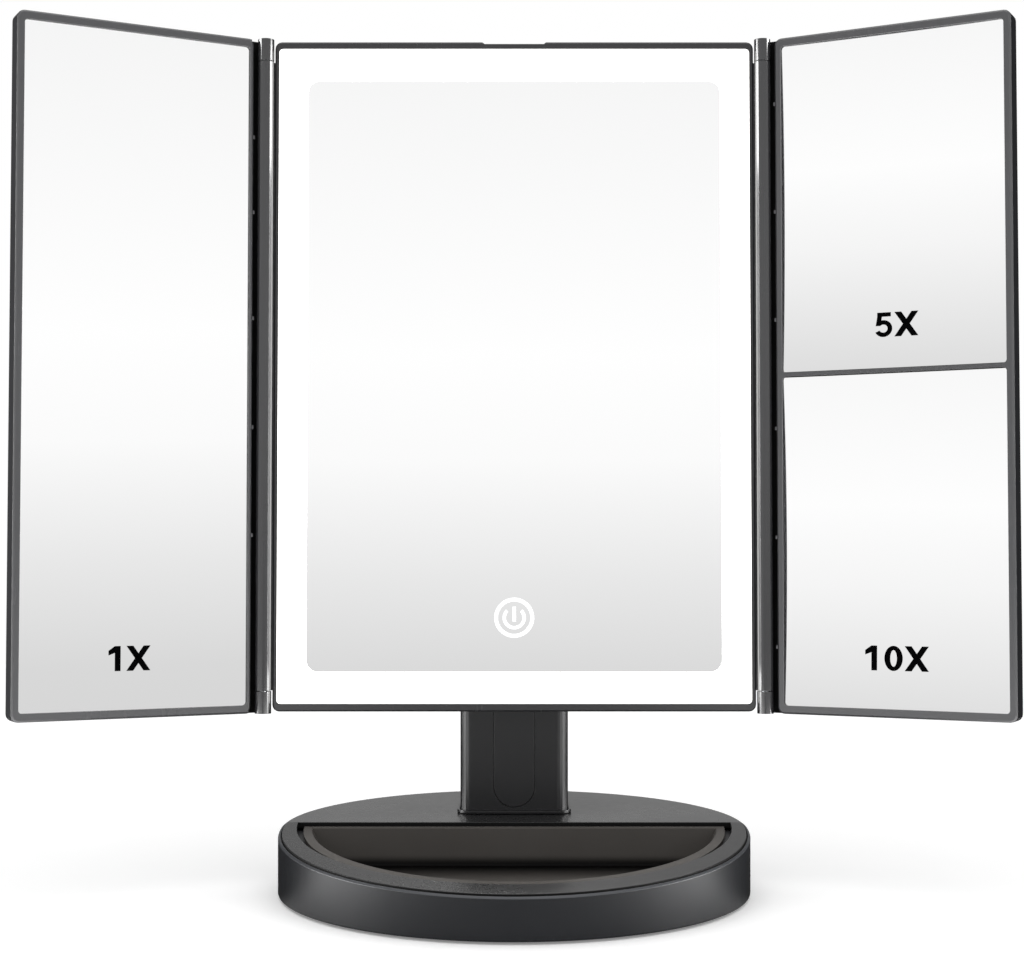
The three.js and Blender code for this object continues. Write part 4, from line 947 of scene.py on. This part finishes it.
def figure_nought(work, left):
    loops = []
    for wide, high in ((8.8, 12.6), (3.2, 8.3)):
        made = bmesh.ops.create_circle(work, cap_ends=False, segments=56, radius=1.0)["verts"]
        for v in made:
            v.co = (left + 8.75 + wide * v.co.x, 0.0, FIGURE_TOP / 2 + high * v.co.y)
        loops += made
    bmesh.ops.bridge_loops(work, edges=list({e for v in loops for e in v.link_edges}))


def figure_times(work, left):
    sheared_bar(work, left, left + 6.6, 0, FIGURE_TOP, 16.5)
    sheared_bar(work, left + 16.5, left + 23.1, 0, FIGURE_TOP, -16.5)


def printed_power(name, drawn, corner, face, place, body):
    """A power of magnification printed on a glass, thin and following its face."""
    left, foot = corner
    work = bmesh.new()
    for draw, across in drawn:
        draw(work, across)
    bmesh.ops.remove_doubles(work, verts=work.verts, dist=SAME_PLACE)
    for v in work.verts:
        v.co.x = left + v.co.x * FIGURE_WIDTH
        v.co.z = foot + v.co.z * FIGURE_UNIT
        v.co.y = face(v.co.x, v.co.z) - INK_GAP
    thickened(work, (0, -INK, 0))
    finished(name, work, place, BLACK_INK, body)


# Small hardware


def own_extent(node, frame_place):
    """The lowest and highest corners of a solid in a frame of its own."""
    back = frame_place.inverted()
    found = [back @ (v.co / MM) for v in nodes[node].data.vertices]
    return [Vector([pick(v[i] for v in found) for i in range(3)]) for pick in (min, max)]


def turned_part(node, work, outline, steps, frame_place, material, body):
    """Spins a small part's outline and stands it where its solid is."""
    low, high = own_extent(node, frame_place)
    spun(work, outline, steps, False)
    bmesh.ops.remove_doubles(work, verts=work.verts, dist=MERGE_REACH)
    place = frame_place @ moved((low.x + high.x) / 2, (low.y + high.y) / 2, low.z)
    finished(node + "_detail", work, place, material, body, (node,), 30.0)


def cross_screw(node, body, frame_place):
    """A pan-head screw with a cross recess, its head's face at the bottom and its point at the top."""
    low, high = own_extent(node, frame_place)
    work = bmesh.new()
    cross = bmesh.ops.create_grid(work, x_segments=3, y_segments=3, size=CROSS_SIZE)["verts"]
    for v in cross:
        v.co.x *= 1.0 if abs(v.co.x) > 1 else CROSS_ARM
        v.co.y *= 1.0 if abs(v.co.y) > 1 else CROSS_ARM
    corners = [f for f in work.faces if min(abs(x) for x in f.calc_center_median()[:2]) > CROSS_CORNER]
    bmesh.ops.delete(work, geom=corners, context="FACES")
    recess = made_verts(bmesh.ops.extrude_face_region(work, geom=work.faces[:]))
    bmesh.ops.scale(work, vec=(CROSS_TAPER, CROSS_TAPER, 1.0), verts=recess)
    bmesh.ops.translate(work, vec=(0, 0, CROSS_DEPTH), verts=recess)
    rim = [e for e in work.edges if all(abs(v.co.z) < SAME_PLACE for v in e.verts)]
    circle = bmesh.ops.create_circle(work, cap_ends=False, segments=SCREW_STEPS, radius=SCREW_FACE)["verts"]
    outer = [e for e in work.edges if all(v in circle for v in e.verts)]
    bmesh.ops.triangle_fill(work, use_beauty=True, use_dissolve=False, edges=rim + outer)
    length = high.z - low.z
    outline = [(SCREW_FACE, 0), *SCREW_HEAD, *((radius, length - short) for radius, short in SCREW_POINT)]
    turned_part(node, work, outline, SCREW_STEPS, frame_place, STEEL, body)


def grooved_foot(node):
    """A rubber foot with two rings pressed into its sole."""
    low, high = own_extent(node, STANDING)
    height = high.z - low.z
    outline = [*FOOT_SOLE, (FOOT_OUTER, height), (0, height)]
    turned_part(node, bmesh.new(), outline, FOOT_STEPS, STANDING, RUBBER, "base")


def edge_nubs(name, x, heights, place, body):
    """Small moulded stops on the inner edge of a wing."""
    work = bmesh.new()
    for z in heights:
        block(work, NUB_SIZE, (x, NUB_Y, z))
    softened(work, sharp_edges(work), NUB_EDGE)
    finished(name, work, place, WING_GREY, body)


# Pieces modelled anew, or added to a wing

base_wall()
top_cover()
tray_ledge()
tray()
stem_inlay()
edge_nubs("wing_stops", -LEAF_OUTER, LEFT_NUBS, LEFT_WING, "left_wing")
edge_nubs("right_wing_stops", LEAF_OUTER, RIGHT_NUBS, RIGHT_WING, "right_wing")

# Pieces that keep the solid's own shape

ARCS = {"stem_front_shell": 1.1, "stem_rear_shell": 1.1, "stem_collar": 0.8, "centre_frame": 0.4}
RESHAPED = {
    "right_wing_frame": lower_divider, "left_wing_frame": wider_opening, "left_glass_1x": wider_opening}
# The leaves seen through the hinge gaps take the painted shade.
WING_FINISHES = ((PAINTED_SHADE_BLACK, in_leaf), (BARREL_BLACK, on_knuckle))
# The wings' outer side faces take the painted shade.
OTHER_FINISHES = {
    "left_wing_frame": (LEFT_WING, *WING_FINISHES, (LEFT_SIDE_PAINTED_SHADE, on_outer_side)),
    "right_wing_frame": (
        RIGHT_WING, *WING_FINISHES, (RIGHT_SIDE_PAINTED_SHADE, on_outer_side), (STEM_BLACK, on_divider)),
    "centre_frame": (PANEL, (BARREL_BLACK, on_barrel)),
}
for node, name, material, body, slot in (
        ("base_bottom_plate", "bottom_plate", BACK_BLACK, "base", "black_plastic"),
        ("stem_front_shell", "stem_front", STEM_BLACK, "base", "black_plastic"),
        ("stem_rear_shell", "stem_rear", STEM_BLACK, "base", "black_plastic"),
        ("stem_collar", "collar", STEM_BLACK, "base", "black_plastic"),
        ("tilt_bracket", "bracket", BACK_BLACK, "panel", "black_plastic"),
        ("tilt_pin", "hinge_rod", STEEL, "panel", "steel"),
        ("centre_frame", "centre_rim", FRAME_GREY, "panel", "frame_grey"),
        ("centre_rear_cover", "rear_cover", BACK_BLACK, "panel", "black_plastic"),
        ("centre_mirror_glass", "centre_glass", CENTRE_SILVER, "panel", "mirror_glass"),
        ("light_diffuser", "lit_band", OPAL, "panel", "opal_diffuser"),
        ("battery_door", "cell_door", BACK_BLACK, "panel", "black_plastic"),
        ("left_wing_frame", "left_rim", WING_GREY, "left_wing", "wing_grey"),
        ("left_wing_back", "left_back", BACK_BLACK, "left_wing", "black_plastic"),
        ("left_glass_1x", "left_glass", CENTRE_SILVER, "left_wing", "mirror_glass"),
        ("right_wing_frame", "right_rim", WING_GREY, "right_wing", "wing_grey"),
        ("right_wing_back", "right_back", BACK_BLACK, "right_wing", "black_plastic")):
    made = refined(node, name, material, body, ARCS.get(node), RESHAPED.get(node))
    if node in OTHER_FINISHES:
        refinish(made, *OTHER_FINISHES[node])

# Magnifiers, print, screws and feet

magnifying_glass("glass_5x", FIVE_BOTTOM, POCKET_HALF_HEIGHT, five_times_face, FIVE_SILVER, "right_glass_5x")
magnifying_glass("glass_10x", -POCKET_HALF_HEIGHT, TEN_TOP, ten_times_face, TEN_SILVER, "right_glass_10x")
touch_mark()
printed_power(
    "figures_1x", ((figure_one, 0), (figure_times, 17.4)), ONE_TIMES_AT, flat_face, LEFT_WING, "left_wing")
printed_power(
    "figures_5x", ((figure_five, 0), (figure_times, 18.6)), FIVE_TIMES_AT, five_times_face,
    RIGHT_WING, "right_wing")
printed_power(
    "figures_10x", ((figure_one, 0), (figure_nought, 19.0), (figure_times, 38.4)), TEN_TIMES_AT,
    ten_times_face, RIGHT_WING, "right_wing")

for number in range(1, 5):
    cross_screw(f"base_screw_{number}", "base", STANDING)
    cross_screw(f"rear_screw_{number}", "panel", PANEL @ turned(90, "X"))
    grooved_foot(f"rubber_foot_{number}")

# Solids that stay as they are, inside the base and the panel
FINISH_OF = {
    "rubber": RUBBER, "screw": STEEL, "pin": STEEL, "washer": STEEL, "spine": STEEL, "usb": STEEL,
    "contact": STEEL, "ballast": IRON, "led": WHITE_PLASTIC, "reflector": WHITE_PLASTIC, "touch": COPPER,
    "control": BOARD, "cell": CELL_WRAP,
}
for node, piece in nodes.items():
    found = [material for word, material in FINISH_OF.items() if word in node]
    for layer in piece.material_slots:
        layer.material = found[0] if found else BACK_BLACK


# Studio, in metres

FLOOR_RADIUS = 1.2
FLOOR_GLOW = 4.1
FLOOR_WHITENING = 0.21
TOP_PLACE = (0, -0.1, 1.9)
TOP_SIZE = (1.8, 1.6)
TOP_RADIANCE = 1.2
STRIP_BEARING = 87
STRIP_DISTANCE = 1.3
STRIP_HEIGHT = 0.36
STRIP_SIZE = (0.9, 0.78)
STRIP_RADIANCE = 16.0
STRIP_AIM = (0, 0, 0.3)
SOFT_LIGHT = 0.78
MIRRORED_LIGHT = 1.03
FOCAL_LENGTH = 68.2
LENS_SHIFT = -0.00215
CAMERA_PLACE = (0, -0.8363, 0.1723)
CAMERA_TILT = 90.32


def grey(tone):
    return (tone, tone, tone, 1)


def pale_floor():
    """A pale round floor that keeps the object's shadow and is white to the camera.

    In reflections it is dark behind the object, and satin parts see it bright at both sides.
    """
    made, tree, surface = new_material("pale floor")
    place = on_object(tree)
    tone = mixed(tree, noise(tree, place, 40.0, 2.0), grey(0.9), grey(0.93))
    path = put(tree, "ShaderNodeLightPath").outputs
    parts = split(tree, place)
    glossy = path["Is Glossy Ray"]
    behind = spread_out(tree, parts["Y"], -0.047, -0.011)
    tone = mixed(tree, times(tree, behind, glossy), tone, grey(0.02))
    side = spread_out(tree, maths(tree, "ABSOLUTE", parts["X"]), 0.1, 0.2)
    satin = maths(tree, "SUBTRACT", glossy, path["Is Singular Ray"], True)
    lit = times(tree, times(tree, side, maths(tree, "SUBTRACT", 1.0, behind)), satin)
    whitening = times(tree, path["Is Camera Ray"], FLOOR_WHITENING)
    glow = maths(tree, "ADD", times(tree, lit, FLOOR_GLOW), whitening)
    fill(surface, Base_Color=tone, Roughness=0.9, Specular_IOR_Level=0.0,
         Emission_Color=grey(1), Emission_Strength=glow)
    work = bmesh.new()
    bmesh.ops.create_circle(work, cap_ends=True, segments=96, radius=FLOOR_RADIUS)
    mesh = bpy.data.meshes.new("floor")
    work.to_mesh(mesh)
    work.free()
    mesh.materials.append(made)
    floor = bpy.data.objects.new("floor", mesh)
    bpy.context.scene.collection.objects.link(floor)


def even_light(tree, colour, strength):
    return fill(put(tree, "ShaderNodeBackground"), Color=colour, Strength=strength).outputs[0]


def either(tree, factor, first, second):
    """One of two lights, by a kind of ray."""
    made = put(tree, "ShaderNodeMixShader")
    for index, value in enumerate((factor, first, second)):
        tree.links.new(value, made.inputs[index])
    return made.outputs[0]


def surroundings():
    """White to the camera, and a soft room to everything else: pale in front, dark cards behind."""
    world = bpy.data.worlds.new("studio")
    bpy.context.scene.world = world
    world.use_nodes = True
    tree = world.node_tree
    tree.nodes.clear()
    path = put(tree, "ShaderNodeLightPath").outputs
    across, away, up = split(tree, put(tree, "ShaderNodeTexCoord").outputs["Generated"])
    front = tone_ramp(tree, up, -0.2, 0.4, (
        (0.0, 0.6), (0.28, 0.69), (0.37, 0.81), (0.47, 0.965), (0.56, 1.0), (0.8, 0.92), (1.0, 0.86)))
    back = tone_ramp(tree, up, -0.1, 0.6, (
        (0.0, 0.03), (0.2, 0.14), (0.33, 0.84), (0.42, 0.66), (0.62, 0.26), (1.0, 0.8)))
    left = spread_out(tree, across, -0.3, -0.5)
    room = mixed(tree, left, front, grey(0.97))
    sideways = spread_out(tree, maths(tree, "ABSOLUTE", across), 0.3, 0.5)
    cards = mixed(tree, sideways, back, grey(0.03))
    room = mixed(tree, spread_out(tree, away, 0.0, 0.25), room, cards)
    inner = either(
        tree, path["Is Glossy Ray"], even_light(tree, grey(1), SOFT_LIGHT),
        even_light(tree, room, MIRRORED_LIGHT))
    outer = either(tree, path["Is Camera Ray"], inner, even_light(tree, grey(1), 1.0))
    tree.links.new(outer, put(tree, "ShaderNodeOutputWorld").inputs["Surface"])


def soft_box(name, place, aim, size, radiance):
    """A soft rectangular lamp whose face has the given brightness."""
    lamp = bpy.data.lights.new(name, "AREA")
    lamp.shape = "RECTANGLE"
    lamp.size, lamp.size_y = size
    lamp.energy = radiance * size[0] * size[1] * math.pi
    box = bpy.data.objects.new(name, lamp)
    box.location = place
    box.rotation_euler = (Vector(aim) - Vector(place)).to_track_quat("-Z", "Y").to_euler()
    bpy.context.scene.collection.objects.link(box)
    return box


def around(bearing, distance, height):
    """A place at a bearing from straight in front of the object, in degrees to the right."""
    angle = math.radians(bearing)
    return (distance * math.sin(angle), -distance * math.cos(angle), height)


def studio_lamps():
    """A large box above, and a strip at each side that only shows in glossy parts."""
    soft_box("top_box", TOP_PLACE, (0, 0, 0), TOP_SIZE, TOP_RADIANCE)
    for name, bearing in (("left_strip", -STRIP_BEARING), ("right_strip", STRIP_BEARING)):
        place = around(bearing, STRIP_DISTANCE, STRIP_HEIGHT)
        strip = soft_box(name, place, STRIP_AIM, STRIP_SIZE, STRIP_RADIANCE)
        strip.visible_diffuse = False


def camera():
    """Square on to the centre mirror, a little above the base."""
    lens = bpy.data.cameras.new("camera")
    lens.sensor_width = 36.0
    lens.lens = FOCAL_LENGTH
    lens.shift_x = LENS_SHIFT
    lens.clip_start = 0.01
    eye = bpy.data.objects.new("camera", lens)
    eye.location = CAMERA_PLACE
    eye.rotation_euler = (math.radians(CAMERA_TILT), 0, 0)
    bpy.context.scene.collection.objects.link(eye)
    bpy.context.scene.camera = eye


pale_floor()
surroundings()
studio_lamps()
camera()
bpy.context.scene.view_settings.view_transform = "Standard"
